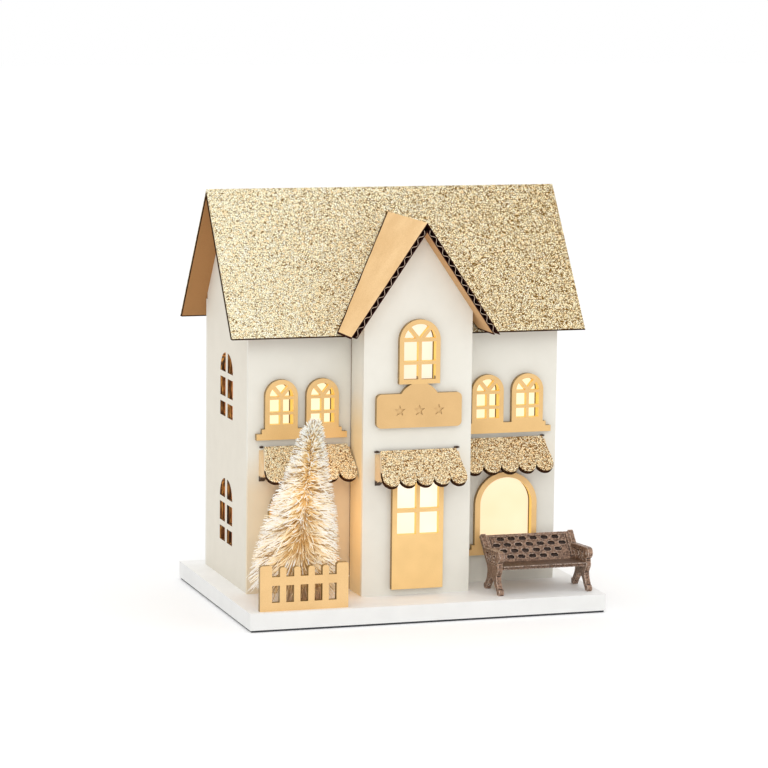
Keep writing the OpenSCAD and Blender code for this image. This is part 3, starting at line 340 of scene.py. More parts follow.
# Widths of the gaps between grains, as shares of a grain, and how much they vary in patches; their
# widening from left to right is painted shade.
GAP_LEFT = 0.057
GAP_RIGHT = 0.106
GAP_PATCHES = {"low": 0.36, "high": 0.64, "to_low": 0.4, "to_high": 1.6}
GAP_SOFTNESS = 0.45
DUST_STOPS = [(0.0, (0.86, 0.78, 0.62)), (0.35, WHITE), (1.0, WHITE)]
FLAKE_METAL = 0.15
FLAKE_DULL = 0.6
FLAKE_SMOOTH = 0.34
BARE_EDGE = (0.80, 0.68, 0.50)
FOLD_T = 0.0005
EAVE_FOLD_T = 0.0026

GOLD_STOPS = [(0.3, (0.78, 0.495, 0.215)), (0.7, (0.87, 0.575, 0.268))]
GOLD_CLOUDS = [(0.3, (0.93, 0.92, 0.90)), (0.7, WHITE)]
GOLD_EDGE_STOPS = [(0.3, (0.20, 0.12, 0.035)), (0.75, (0.48, 0.305, 0.10))]
JAMB_PAINTED_LIGHT = (0.95, 0.66, 0.16)
JAMB_PAINTED_GLOW = (1.0, 0.68, 0.13)
JAMB_LIGHT = 0.1
CHEEK_STOPS = [(0.3, (0.72, 0.50, 0.27)), (0.7, (0.84, 0.63, 0.38))]
DARK_HEM_RAGGED = 0.0035

FILM_WEAVE = [(0.25, WHITE), (0.6, (0.97, 0.93, 0.82))]
FILM_CLOUDS = [(0.25, (0.96, 0.92, 0.85)), (0.65, WHITE)]
FILM_PAINTED_SHADOW = (0.14, 0.055, 0.012)
FILM_UNLIT = (0.10, 0.08, 0.05)
FILM_CHANGE_Z = 0.085
FILM_SHADOW_W = 0.0007
FILM_EDGE_REACH = 0.0028
FILM_RIGHT_SHARE = 0.4

BENCH_STOPS = [(0.36, (0.08, 0.036, 0.018)), (0.62, (0.38, 0.23, 0.15))]
BENCH_LEAN = radians(44)
BENCH_BACK_AXIS = Vector((0, cos(BENCH_LEAN), -sin(BENCH_LEAN)))
BENCH_BACK_FOOT = Vector((0, -0.04524, 0.02296))
BENCH_FACE_MM = -2.0
HOLLOW_MM = (0.3, 0.9)
HOLLOW_PAINTED_SHADE = (0.038, 0.013, 0.004)
CREVICE_SPAN = (0.484, 0.499)
CREVICE_PAINTED_SHADE = (0.02, 0.008, 0.004)
WEAR_AND_HIGHLIGHT_SPAN = (0.503, 0.54)
WEAR_AND_HIGHLIGHT_PATCHES = (0.4, 0.65)
WEAR_AND_HIGHLIGHT = (0.68, 0.56, 0.47)

FIBRE_STOPS = [(0.0, (0.30, 0.16, 0.045)), (0.5, (0.84, 0.60, 0.27)), (1.0, (0.97, 0.81, 0.46))]
TIP_STOPS = [
    (0.0, (0.36, 0.23, 0.11)), (0.25, (0.90, 0.78, 0.55)),
    (0.55, (0.94, 0.89, 0.76)), (0.85, (0.95, 0.94, 0.90)),
]
TIP_SPAN = (0.35, 0.9)
FROST_TIP_SPAN = (0.68, 0.92)
FROST_TINT_SPAN = (0.25, 0.55)
FROST_WHITE = (0.81, 0.80, 0.77)
FROST_HEIGHTS = (0.078, 0.10)
FROST_AND_SHADE_SPECKS = [(0.35, (0.42, 0.36, 0.27)), (0.42, (0.96, 0.99, 1.0))]
BRISTLE_PAINTED_GLOW = 0.22
BRISTLE_SHEEN = 0.1
BASE_STOPS = [(0.35, (0.90, 0.893, 0.875)), (0.65, (0.94, 0.933, 0.915))]
BASE_TOP_PAINTED_SHADE = (0.84, 0.845, 0.845)

# Middles and half widths of the windows' and the door's openings along X.
SHOP_X = 0.05867
TWIN_X = 0.0115
TWIN_HALF = 0.0091
SHOP_HALF = 0.018
DOOR_HALF = 0.0145
CENTRE_HALF = 0.0115
RIM_W = 0.0013
SILL_H = 0.004


def kraft_colour(tree):
    return ramp(tree, noise(tree, 0.5, 4, 0.7, (1, 1, 4)), KRAFT_STOPS)


def burnt_colour(tree):
    return ramp(tree, noise(tree, 0.6, 3), [(0.35, BURNT), (0.75, BURNT_LIGHT)])


def streak_colour(tree):
    """Upright scorched and golden streaks of a laser-cut edge."""
    return ramp(tree, noise(tree, 1.1, 3, 0.6, (1.0, 0.6, 0.10)), STREAK_STOPS)


def wall_material(name, outward, burnt_spans=(), shade=None, seam=None, warm=None):
    """Card with a warm white face and kraft inside. Cut edges in the spans along X are scorched.

    A wall whose card is darkened as painted shade or lightened as painted light has streaks on its cut
    edges. seam is a span along Y with a dark joint, where the face meets another wall. warm is a
    height, and the painted warm light of the lamps on the card below it.
    """
    material, tree, shader = new_material(name)
    white = ramp(tree, noise(tree, 9, 4), WALL_STOPS)
    # shade multiplies the card darker as painted shade or lighter as painted light.
    if shade:
        white = times(tree, white, shade)
    if warm:
        # Painted warm light on the card below warm_z.
        warm_z, tint = warm
        height = span_value(tree, along(tree, 2), warm_z - WARM_BLEND, warm_z)
        white = times(tree, white, ramp(tree, height, [(0.0, tint), (1.0, WHITE)]))
    colour = mix(tree, facing(tree, reverse(outward)), white, kraft_colour(tree))
    if burnt_spans:
        edge = both(tree, but_not(tree, facing_both(tree, outward)), in_spans(tree, 0, burnt_spans))
        colour = mix(tree, edge, colour, streak_colour(tree) if shade else burnt_colour(tree))
    if seam:
        joint = both(tree, in_spans(tree, 1, [seam]), facing(tree, outward))
        colour = mix(tree, joint, colour, SEAM_DARK)
    paint(tree, shader, colour)
    finish_of(shader, 0.62, 0.25)
    bump(tree, shader, noise(tree, 0.35, 3), 0.15, 0.04)
    return material


def flake_colour(tree, stops, outline):
    """Glitter grains of many tones with dark gaps between them, and each grain's random numbers.

    The gaps are wider in some places than in others, and widen from left to right as painted shade.
    """
    grains = cells(tree, GRAIN_MM)
    split = add(tree, "SeparateColor", {"Color": grains.outputs["Color"]})
    tone = ramp(tree, split.outputs[0], stops)
    gap = cells(tree, GRAIN_MM, "DISTANCE_TO_EDGE").outputs["Distance"]
    # Painted shade: the gaps widen from left to right, so the right is darker.
    wide = span_value(tree, along(tree, 0), -ROOF_HALF_W, ROOF_HALF_W, GAP_LEFT, GAP_RIGHT)
    wide = both(tree, wide, span_value(tree, noise(tree, GRAIN_MM * 1.3, 1), **GAP_PATCHES))
    soft = both(tree, wide, GAP_SOFTNESS)
    cover = math_node(tree, "DIVIDE", math_node(tree, "SUBTRACT", gap, wide), soft, True)
    tone = mix(tree, cover, outline, tone)
    small = add(tree, "SeparateColor", {"Color": cells(tree, GRAIN_MM * 0.4).outputs["Color"]})
    return times(tree, tone, ramp(tree, small.outputs[0], DUST_STOPS)), split


def outer_plane(node, outward):
    """How far along outward a CAD node reaches."""
    axis = Vector(outward)
    return max(vertex.co.dot(axis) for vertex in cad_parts[node].data.vertices)


def glitter_masks(tree, node, outward, rim_z):
    """Masks of the glittered face, with its fold over the cut edges, and of the underside."""
    deep = along_vector(tree, outward)
    reach = outer_plane(node, outward)
    folded = math_node(tree, "GREATER_THAN", deep, reach - FOLD_T)
    outer = either(tree, facing(tree, outward, 0.5), folded)
    below = facing(tree, reverse(outward), 0.5)
    if rim_z:
        eave = math_node(tree, "GREATER_THAN", deep, reach - EAVE_FOLD_T)
        eave = both(tree, eave, but_not(tree, facing_both(tree, (1, 0, 0))))
        above = higher_than(tree, rim_z)
        outer = both(tree, either(tree, outer, eave), above)
        below = both(tree, below, above)
    return outer, below


def glitter_material(node, outward, stops, outline, shade_along_x, rim_z=None, bare_z=None):
    """Glitter on the outer face, kraft under it, and scorched cut edges. fade is painted shade along X,
    darker to the right.

    A roof is scorched below rim_z. The ends of an awning's board are bare above bare_z.
    """
    material, tree, shader = new_material(node + "_glitter")
    flakes, split = flake_colour(tree, stops, outline)
    # Painted shade along X: the glitter darkens towards the right.
    across = span_value(tree, along(tree, 0), -ROOF_HALF_W, ROOF_HALF_W)
    flakes = times(tree, flakes, ramp(tree, across, shade_along_x))
    outer, below = glitter_masks(tree, node, outward, rim_z)
    edge = burnt_colour(tree)
    if bare_z:
        bare = both(tree, facing_both(tree, (1, 0, 0), 0.8), higher_than(tree, bare_z))
        edge = mix(tree, bare, edge, BARE_EDGE)
    colour = mix(tree, below, edge, kraft_colour(tree))
    paint(tree, shader, mix(tree, outer, colour, flakes))
    shine = span_value(tree, split.outputs[1], 0.5, 1.0, 0.0, FLAKE_METAL)
    tree.links.new(both(tree, outer, shine), shader.inputs["Metallic"])
    rough = span_value(tree, split.outputs[1], 0, 1, FLAKE_DULL, FLAKE_SMOOTH)
    tree.links.new(rough, shader.inputs["Roughness"])
    shader.inputs["Specular IOR Level"].default_value = 0.0
    bump(tree, shader, both(tree, split.outputs[2], outer), 0.6, 0.22)
    return material


def gold_material(name, shade, lit=()):
    """Satin gold paint on thin board with darker edges, darkened or lightened by shade as painted shade
    or painted light. Jambs in the lit arches get painted light and a painted glow.
    """
    material, tree, shader = new_material(name)
    speckle = ramp(tree, noise(tree, 0.45, 3, 0.7), GOLD_STOPS)
    face = times(tree, times(tree, speckle, ramp(tree, noise(tree, 12, 2), GOLD_CLOUDS)), shade)
    edge = ramp(tree, noise(tree, 0.8, 3), GOLD_EDGE_STOPS)
    cut = but_not(tree, facing_both(tree, (0, 1, 0), 0.93))
    colour = mix(tree, cut, face, edge)
    if lit:
        # Painted light on the jambs: bright gold and a faint glow.
        jamb = both(tree, cut, in_arches(tree, lit))
        colour = mix(tree, jamb, colour, JAMB_PAINTED_LIGHT)
        glow(tree, shader, mix(tree, jamb, BLACK, JAMB_PAINTED_GLOW), JAMB_LIGHT)
    paint(tree, shader, colour)
    finish_of(shader, 0.42, None, 0.2)
    bump(tree, shader, noise(tree, 0.3, 3), 0.25, 0.05)
    return material


def dark_hem_material(name, dark_below_z):
    """Tan board of an awning's cheeks, black along its lower edge below dark_below_z."""
    material, tree, shader = new_material(name)
    face = ramp(tree, noise(tree, 0.5, 3, 0.7), CHEEK_STOPS)
    # The cheek turns black below a ragged height.
    rim = math_node(tree, "MULTIPLY", noise(tree, 1.3, 3), DARK_HEM_RAGGED)
    height = math_node(tree, "ADD", along(tree, 2), rim)
    soot = math_node(tree, "LESS_THAN", height, dark_below_z)
    paint(tree, shader, mix(tree, soot, face, burnt_colour(tree)))
    finish_of(shader, 0.55, 0.3)
    bump(tree, shader, noise(tree, 0.3, 3), 0.25, 0.05)
    return material


def film_masks(tree, arches):
    """Masks of the painted shadow line at the right inside each arch, and of the painted light band
    just past it.
    """
    inside = in_arches(tree, arches)
    shifted = in_arches(tree, [(x - FILM_SHADOW_W, *rest) for x, *rest in arches])
    right = [(x + half * FILM_RIGHT_SHARE, x + half) for x, spring, half, low in arches]
    line = both(tree, both(tree, inside, but_not(tree, shifted)), in_spans(tree, 0, right))
    beyond = in_spans(tree, 0, [(start, end + FILM_EDGE_REACH) for start, end in right])
    beyond = both(tree, beyond, higher_than(tree, min(arch[-1] for arch in arches)))
    return line, both(tree, beyond, but_not(tree, inside))


def film_material(name, low, high, arches):
    """Thin warm film with a painted glow for the light from behind, and a fine woven dot.

    low and high are its painted glow below and above FILM_CHANGE_Z. At the right of each arch a painted
    shadow of the wall's edge lies on the film as a dark line, and a band of painted golden light lies
    past it.
    """
    material, tree, shader = new_material(name)
    dots = cells(tree, 0.75, "F1", 0.0, (0, 0.6, 0)).outputs["Distance"]
    tone = mix(tree, higher_than(tree, FILM_CHANGE_Z), low, high)
    tone = times(tree, tone, ramp(tree, noise(tree, 20, 1), FILM_CLOUDS))
    line, beyond = film_masks(tree, arches)
    # Painted shadow of the wall's edge, then painted golden light past it.
    tone = mix(tree, line, tone, FILM_PAINTED_SHADOW)
    tone = mix(tree, beyond, tone, JAMB_PAINTED_GLOW)
    glow(tree, shader, times(tree, tone, ramp(tree, dots, FILM_WEAVE)))
    shader.inputs["Base Color"].default_value = rgba(FILM_UNLIT)
    finish_of(shader, 0.5)
    return material


def plain_material(name, light, dark, size_mm, roughness, metallic=0.0, bump_mm=0.02, scale=(1, 1, 1)):
    """A surface with fine colour variation and a slight texture."""
    material, tree, shader = new_material(name)
    paint(tree, shader, ramp(tree, noise(tree, size_mm, 4, 0.6, scale), [(0.3, dark), (0.7, light)]))
    finish_of(shader, roughness, None, metallic)
    bump(tree, shader, noise(tree, size_mm / 3, 3, 0.5, scale), 0.4, bump_mm)
    return material


def bench_material(name, hollows=False, shade=WHITE):
    """Dark brown paint, lighter on corners and ridges as rubbed wear and painted highlight, with
    painted shade in creases and the back's hollows; shade darkens a copy as painted shade.
    """
    material, tree, shader = new_material(name)
    base = ramp(tree, noise(tree, 1.6, 5, 0.7), BENCH_STOPS)
    # Painted shade in the hollows of the back.
    if hollows:
        face = BENCH_BACK_FOOT.dot(BENCH_BACK_AXIS) + BENCH_FACE_MM * MM
        start, end = (face + deep * MM for deep in HOLLOW_MM)
        inside = span_value(tree, along_vector(tree, BENCH_BACK_AXIS), start, end)
        inside = both(tree, inside, facing(tree, reverse(BENCH_BACK_AXIS), 0.3))
        base = mix(tree, inside, base, HOLLOW_PAINTED_SHADE)
    ridge = add(tree, "NewGeometry").outputs["Pointiness"]
    # Painted shade in creases, where the surface is hollow.
    base = mix(tree, span_value(tree, ridge, *CREVICE_SPAN), CREVICE_PAINTED_SHADE, times(tree, base, shade))
    # Rubbed wear and painted highlight on corners and ridges.
    patches = span_value(tree, noise(tree, 0.9, 4), *WEAR_AND_HIGHLIGHT_PATCHES)
    wear_and_highlight = math_node(tree, "MULTIPLY", span_value(tree, ridge, *WEAR_AND_HIGHLIGHT_SPAN), patches, True)
    paint(tree, shader, mix(tree, wear_and_highlight, base, WEAR_AND_HIGHLIGHT))
    finish_of(shader, 0.36, 0.45, 0.1)
    bump(tree, shader, noise(tree, 0.5, 4), 0.5, 0.08)
    return material


def bristle_material():
    """Cream fibre that turns frosty white towards each tip, with a painted glow for the light through
    it and painted shade specks near the top.
    """
    material, tree, shader = new_material("bristle_fibre")
    tip = add(tree, "Attribute", attribute_name="tip").outputs["Fac"]
    tint = add(tree, "Attribute", attribute_name="tint").outputs["Fac"]
    ends = span_value(tree, tip, *TIP_SPAN)
    colour = mix(tree, ends, ramp(tree, tint, FIBRE_STOPS), ramp(tree, tint, TIP_STOPS))
    frosted = span_value(tree, tip, *FROST_TIP_SPAN)
    frosted = both(tree, frosted, span_value(tree, tint, *FROST_TINT_SPAN))
    colour = mix(tree, frosted, colour, FROST_WHITE)
    # Near the top: painted shade in dark specks, and a bluish frost white.
    height = span_value(tree, along(tree, 2), *FROST_HEIGHTS)
    specks = ramp(tree, noise(tree, 1.7, 1), FROST_AND_SHADE_SPECKS)
    colour = times(tree, colour, mix(tree, height, WHITE, specks))
    paint(tree, shader, colour)
    # Painted glow: the fibre shines with its own colour.
    glow(tree, shader, colour, BRISTLE_PAINTED_GLOW)
    shader.inputs["Sheen Weight"].default_value = BRISTLE_SHEEN
    finish_of(shader, 0.55)
    return material


def base_material():
    """White board with a slightly uneven skin, and painted shade on its top."""
    material, tree, shader = new_material("base_white")
    white = ramp(tree, noise(tree, 14, 4), BASE_STOPS)
    # Painted shade on the top face.
    top = facing(tree, (0, 0, 1))
    paint(tree, shader, mix(tree, top, times(tree, white, BASE_TOP_PAINTED_SHADE), white))
    finish_of(shader, 0.55)
    bump(tree, shader, noise(tree, 2.2, 5, 0.6), 0.35, 0.12)
    return material


# Mesh helpers

BEVEL_SEGMENTS = 2
BEVEL_ANGLE = radians(40)
CAST_VOXEL_MM = 0.24
CAST_LUMP_MM = 1.6
CAST_SWELL_MM = 0.32


def add_piece(name, vertices, faces, material, smooth=False):
    """A new piece that is part of the house."""
    mesh = bpy.data.meshes.new(name)
    mesh.from_pydata(vertices, [], faces)
    mesh.validate()
    mesh.update()
    mesh.materials.append(material)
    mesh.polygons.foreach_set("use_smooth", [smooth] * len(mesh.polygons))
    piece = bpy.data.objects.new(name, mesh)
    bpy.context.scene.collection.objects.link(piece)
    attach(piece, "house")
    return piece


def dress(node, material, bevel_mm=0.0):
    """Gives a CAD node its material and, with bevel_mm, a small round on its edges."""
    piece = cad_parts[node]
    piece.data.materials.clear()
    piece.data.materials.append(material)
    if bevel_mm:
        round_off = piece.modifiers.new("round", "BEVEL")
        round_off.width = bevel_mm * MM
        round_off.segments = BEVEL_SEGMENTS
        round_off.limit_method = "ANGLE"
        round_off.angle_limit = BEVEL_ANGLE
        round_off.harden_normals = True
    return piece


def cast(node, material):
    """Gives a CAD node the soft edges and uneven skin of a small casting."""
    piece = dress(node, material)
    skin = piece.modifiers.new("skin", "REMESH")
    skin.mode = "VOXEL"
    skin.voxel_size = CAST_VOXEL_MM * MM
    skin.use_smooth_shade = True
    soften = piece.modifiers.new("soften", "SMOOTH")
    soften.factor = 0.5
    soften.iterations = 2
    lumps = bpy.data.textures.new(node + "_lumps", "CLOUDS")
    lumps.noise_scale = CAST_LUMP_MM * MM
    swell = piece.modifiers.new("swell", "DISPLACE")
    swell.texture = lumps
    swell.texture_coords = "LOCAL"
    swell.strength = CAST_SWELL_MM * MM
    swell.mid_level = 0.5


def tube(vertices, faces, points, radii, sides):
    """Adds a closed round tube along points, with a radius at each point."""
    first = len(vertices)
    for index, middle in enumerate(points):
        before = points[max(index - 1, 0)]
        after = points[min(index + 1, len(points) - 1)]
        run = (after - before).normalized()
        across = run.orthogonal().normalized()
        other = run.cross(across)
        for side in range(sides):
            turn = tau * side / sides
            offset = across * cos(turn) + other * sin(turn)
            vertices.append(middle + offset * radii[index])
    for ring in range(len(points) - 1):
        base = first + ring * sides
        for side in range(sides):
            near = base + side
            far = base + (side + 1) % sides
            faces.append((near, far, far + sides, near + sides))
    last = first + (len(points) - 1) * sides
    faces.append(tuple(range(last, last + sides)))
    faces.append(tuple(range(first + sides - 1, first - 1, -1)))


# Gable roof of corrugated board

RIDGE_H = 0.225
RIDGE_Y = 0.019
ROOF_RUN = 0.0545
ROOF_EAVE_H = 0.1495
GABLE_HALF_W = 0.042
GABLE_PEAK = 0.2122
GABLE_EAVE = 0.1515
GABLE_Y = -0.0585
BOARD_T = 0.003
LINER_T = 0.00055
FLUTE_T = 0.00024
FLUTE_PITCH = 0.0064
FLUTE_STEPS = 12
WALL_GAP = 0.00006
ROOF_SLOPE = (RIDGE_H - ROOF_EAVE_H) / ROOF_RUN
SCORCH_W = 0.0018
GABLE_RIM_H = 0.0009
CUT_AND_SHADE_DARK = (0.03, 0.01, 0.009)
CUT_WAVE = (0.60, 0.45, 0.34)
SCORCH_AND_SHADE_DARK = (0.04, 0.014, 0.012)
BOARD_CLOUDS = [(0.35, (0.93, 0.90, 0.86)), (0.65, WHITE)]
# Each layer's colours, the colour of its cut front, and the way that its side in painted shade faces.
# The wave's colours are dark as painted shade inside the flutes.
LAYER_LOOKS = {
    "outer": ([(0.3, (0.82, 0.55, 0.28)), (0.7, (0.98, 0.70, 0.39))], CUT_AND_SHADE_DARK, (0, 0, -1)),
    "inner": ([(0.3, (0.56, 0.35, 0.18)), (0.7, (0.74, 0.47, 0.25))], CUT_AND_SHADE_DARK, (0, 0, 1)),
    "wave": ([(0.3, CUT_AND_SHADE_DARK), (0.7, (0.05, 0.018, 0.015))], CUT_WAVE, (0, 0, -1)),
}


def gable_back_y(z):
    """Where the gable roof meets the main roof at height z."""
    return RIDGE_Y - (RIDGE_H - z) / ROOF_SLOPE - WALL_GAP


def extrude_profile(profile, side):
    """Vertices and faces of a closed outline in X and Z, run back from the gable's front."""
    count = len(profile)
    front = [(side * x, GABLE_Y, z) for x, z in profile]
    back = [(side * x, gable_back_y(z), z) for x, z in profile]
    faces = [tuple(range(count))[::-1], tuple(range(count, 2 * count))]
    faces += [(i, (i + 1) % count, count + (i + 1) % count, count + i) for i in range(count)]
    return front + back, faces


def gable_frame():
    """Peak, unit vector down the slope and unit vector into the board."""
    down = Vector((GABLE_HALF_W, GABLE_EAVE - GABLE_PEAK)).normalized()
    inward = Vector((down.y, -down.x))
    return Vector((0, GABLE_PEAK)), down, inward


def board_point(run, deep):
    """The point at a distance down the slope and a depth into the board."""
    peak, down, inward = gable_frame()
    return peak + down * run + inward * deep


def strip_ends(deep):
    """Where a layer at this depth starts, upright at the peak, and ends, level at the eave."""
    peak, down, inward = gable_frame()
    start = -inward.x * deep / down.x
    end = (GABLE_EAVE - peak.y - inward.y * deep) / down.y
    return start, end


def clipped_strip(outer, inner):
    """Outline of a layer between two depths."""
    outer_run = [board_point(run, outer) for run in strip_ends(outer)]
    inner_run = [board_point(run, inner) for run in strip_ends(inner)]
    return outer_run + inner_run[::-1]


def flute_outline():
    """Outline of the wavy middle layer."""
    middle = BOARD_T / 2
    swing = middle - LINER_T * 0.9
    start, end = strip_ends(BOARD_T)
    steps = int(FLUTE_STEPS * (end - start) / FLUTE_PITCH)
    upper, lower = [], []
    for i in range(steps + 1):
        run = start + (end - start) * i / steps
        angle = tau * run / FLUTE_PITCH
        deep = middle + swing * cos(angle)
        lean = -swing * tau / FLUTE_PITCH * sin(angle)
        reach = FLUTE_T / 2 * sqrt(1 + lean * lean)
        upper.append(board_point(run, deep - reach))
        lower.append(board_point(run, deep + reach))
    return upper + lower[::-1]


def board_material(name, kind):
    """One layer of corrugated board, scorched along the eave and where it meets the main roof, with
    painted shade on its side inside the flutes.
    """
    material, tree, shader = new_material(name)
    stops, cut, shaded_way = LAYER_LOOKS[kind]
    face = ramp(tree, noise(tree, 0.7, 4, 0.7), stops)
    face = times(tree, face, ramp(tree, noise(tree, 16, 2), BOARD_CLOUDS))
    colour = mix(tree, facing(tree, (0, -1, 0)), face, cut)
    drop = math_node(tree, "SUBTRACT", RIDGE_H, along(tree, 2))
    behind = math_node(tree, "ADD", along(tree, 1), math_node(tree, "MULTIPLY", drop, 1 / ROOF_SLOPE))
    ragged = math_node(tree, "MULTIPLY", noise(tree, 9, 2), SCORCH_W)
    behind = math_node(tree, "ADD", behind, ragged)
    scorch = math_node(tree, "GREATER_THAN", behind, RIDGE_Y - SCORCH_W / 2)
    rim = math_node(tree, "LESS_THAN", along(tree, 2), GABLE_EAVE + GABLE_RIM_H)
    # Painted shade on the side inside the flutes, and scorch along the eave and the joint.
    dark = either(tree, either(tree, facing(tree, shaded_way, 0.3), rim), scorch)
    paint(tree, shader, mix(tree, dark, colour, SCORCH_AND_SHADE_DARK))
    finish_of(shader, 0.7, 0.0)
    bump(tree, shader, noise(tree, 0.4, 3), 0.3, 0.05)
    return material


def add_gable_roof():
    """Three layers on each side. The outer one stands in for the CAD's plain board."""
    layers = {
        "outer": clipped_strip(0, LINER_T),
        "wave": flute_outline(),
        "inner": clipped_strip(BOARD_T - LINER_T, BOARD_T),
    }
    for kind, outline in layers.items():
        material = board_material("gable_" + kind, kind)
        for side, word in ((-1, "left"), (1, "right")):
            vertices, faces = extrude_profile([tuple(p) for p in outline], side)
            if side > 0:
                faces = [face[::-1] for face in faces]
            piece = add_piece("gable_%s_%s" % (kind, word), vertices, faces, material)
            if kind == "outer":
                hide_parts("gable_roof_" + word)


# Tree. A share is that of the bristled height, ranges are (low, high), and spreads are in degrees.

TREE_SEED = 7
TREE_FOOT = Vector((-0.0648, -0.0525, 0.0105))
TREE_BEND = Vector((-0.0676, -0.0525, 0.0353))
TREE_LEAN = radians(6.3)
STEM_TOP = 0.1045
WIRE_R = 0.00036
WIRE_TWIST_R = 0.00042
WIRE_PITCH = 0.0038
WIRE_STEPS = 14
WIRE_SIDES = 6
WIRE_SUNK = 0.004
WIRE_LOOK = ((0.50, 0.31, 0.13), (0.26, 0.14, 0.05), 1.2, 0.4, 0.5)
TREE_PROFILE = [
    (0.0, 0.022), (0.1, 0.0228), (0.2, 0.0217), (0.3, 0.0202), (0.39, 0.0188), (0.49, 0.0167),
    (0.58, 0.0147), (0.69, 0.0124), (0.81, 0.01), (0.93, 0.0076), (1.0, 0.0058),
]
STRANDS = 5400
STRAND_STEPS = 5
STRAND_SIDES = 3
STRAND_TRIES = 14
STRAND_JITTER = 0.065
DRAWN_IN = 0.88
ROOT_R = 0.00015
ROOT_OUT = 0.0005
FROST_R = 0.0003
FROST_R_RANGE = (0.6, 1.25)
POINT_SHARE = 0.45
TINT_MIDDLE = 0.6
TINT_SPREAD = 0.28
SHADE_STRAND_CHANCE = 0.12

BRISTLE_LOW_GAP = 0.0006
ROOT_LOW_GAP = 0.004
ROOT_TOP_GAP = 0.0005
DENSE_EXTRA = 0.004
REACH_RANGE = (0.80, 1.07)
LEFT_GROWTH = 0.06
FRONT_AZIMUTH = radians(253)
FRONT_HALF = radians(32)
FRONT_TOP_SHARE = 0.93
FRONT_SHORTEST = 0.5
BARE_CHANCE = 0.5
BARE_CHANCE_LOW = 0.8
LOW_SHARE = 0.3
DULL_HALF = FRONT_HALF * 1.3
DULL_SHARE = 0.35
DULL_TINT = 0.55
TILT_LOW = -33
TILT_RISE = 58
TILT_SPREAD = 10
SAG_LOW = -0.10
SAG_HIGH = -0.03
WHITE_SHARE = 0.72
WHITE_GAIN = 0.6
BROWN_AND_SHADE_GAIN = 0.9

SKIRT_STRANDS = 170
SKIRT_AZIMUTHS = (180, 180, 195, 165, 230, 290, 330)
SKIRT_SPREAD = 16
SKIRT_MIDDLE = 0.036
SKIRT_TIP_Z = (0.017, 0.03)
SKIRT_TIP_OUT = (0.0205, 0.028)
SKIRT_ROOT_Z = (0.034, 0.042)
HEM_STRANDS = 420
HEM_AZIMUTHS = (170, 370)
HEM_MIDDLE = 0.03
HEM_TIP_Z = (0.0125, 0.031)
HEM_TIP_OUT = (0.0075, 0.02)
HEM_ROOT_Z = (0.033, 0.041)
HEM_WHITE = (-0.7, 0.1)
CROWN_STRANDS = 190
CROWN_MIDDLE = 0.103
CROWN_R = 0.0068
CROWN_R_RANGE = (0.8, 1.08)
CROWN_WIDE = 0.8
CROWN_ROOT_DROP = (0.001, 0.006)

SAFE_Y = -0.0731
BASE_CLEAR_Z = 0.0112
FENCE_BACK_Y = -0.0668
FENCE_TOP_Z = 0.035
AWNING_TOP_Z = 0.0915
AWNING_LOW_Z = 0.0715
AWNING_TOP_Y = -0.0285
AWNING_SLOPE = 0.949
SILL_Y = -0.03


def level_way(azimuth):
    """Unit vector that points level."""
    return Vector((cos(azimuth), sin(azimuth), 0))


def stem_point(z):
    """The middle of the twisted wire at height z."""
    if z < TREE_BEND.z:
        share = (z - TREE_FOOT.z) / (TREE_BEND.z - TREE_FOOT.z)
        return TREE_FOOT.lerp(TREE_BEND, share)
    return TREE_BEND + Vector((tan(TREE_LEAN) * (z - TREE_BEND.z), 0, z - TREE_BEND.z))


def tree_reach(share):
    """Radius of the tree at a share of the bristled height."""
    for (s0, r0), (s1, r1) in zip(TREE_PROFILE, TREE_PROFILE[1:]):
        if share <= s1:
            return r0 + (r1 - r0) * (share - s0) / (s1 - s0)
    return TREE_PROFILE[-1][1]


def fits(point):
    """Whether a point is clear of the fence, the awning, the wing wall and the base."""
    if point.y < SAFE_Y or point.z < BASE_CLEAR_Z:
        return False
    if point.z < FENCE_TOP_Z:
        return point.y > FENCE_BACK_Y
    if AWNING_LOW_Z < point.z < AWNING_TOP_Z:
        return point.y < AWNING_TOP_Y - (AWNING_TOP_Z - point.z) * AWNING_SLOPE
    return point.y < SILL_Y


def add_strand(rng, data, root, tip, sag, white, most_tint=1.0):
    """One curved bristle from root to tip, drawn in where it would touch something."""
    vertices, faces, tips, tints = data
    jitter = Vector((rng.gauss(0, 1), rng.gauss(0, 1), rng.gauss(0, 1)))
    for _ in range(STRAND_TRIES):
        reach = (tip - root).length
        control = root.lerp(tip, 0.5) + Vector((0, 0, sag * reach)) + jitter * reach * STRAND_JITTER
        points = []
        for step in range(STRAND_STEPS + 1):
            t = step / STRAND_STEPS
            points.append(root * (1 - t) ** 2 + control * 2 * t * (1 - t) + tip * t ** 2)
        if all(fits(point) for point in points[2:]):
            break
        tip = root.lerp(tip, DRAWN_IN)
    thick = FROST_R * rng.uniform(*FROST_R_RANGE)
    radii = [ROOT_R + (thick - ROOT_R) * min(1, step / 3) for step in range(STRAND_STEPS)]
    tube(vertices, faces, points, radii + [thick * POINT_SHARE], STRAND_SIDES)
    tint = min(1, max(0, rng.gauss(TINT_MIDDLE, TINT_SPREAD))) * most_tint
    # Some strands are dark brown as painted shade between the bristles.
    if rng.random() < SHADE_STRAND_CHANCE:
        tint = 0
    for step in range(STRAND_STEPS + 1):
        tips.extend([min(1, max(0, step / STRAND_STEPS + white))] * STRAND_SIDES)
        tints.extend([tint] * STRAND_SIDES)


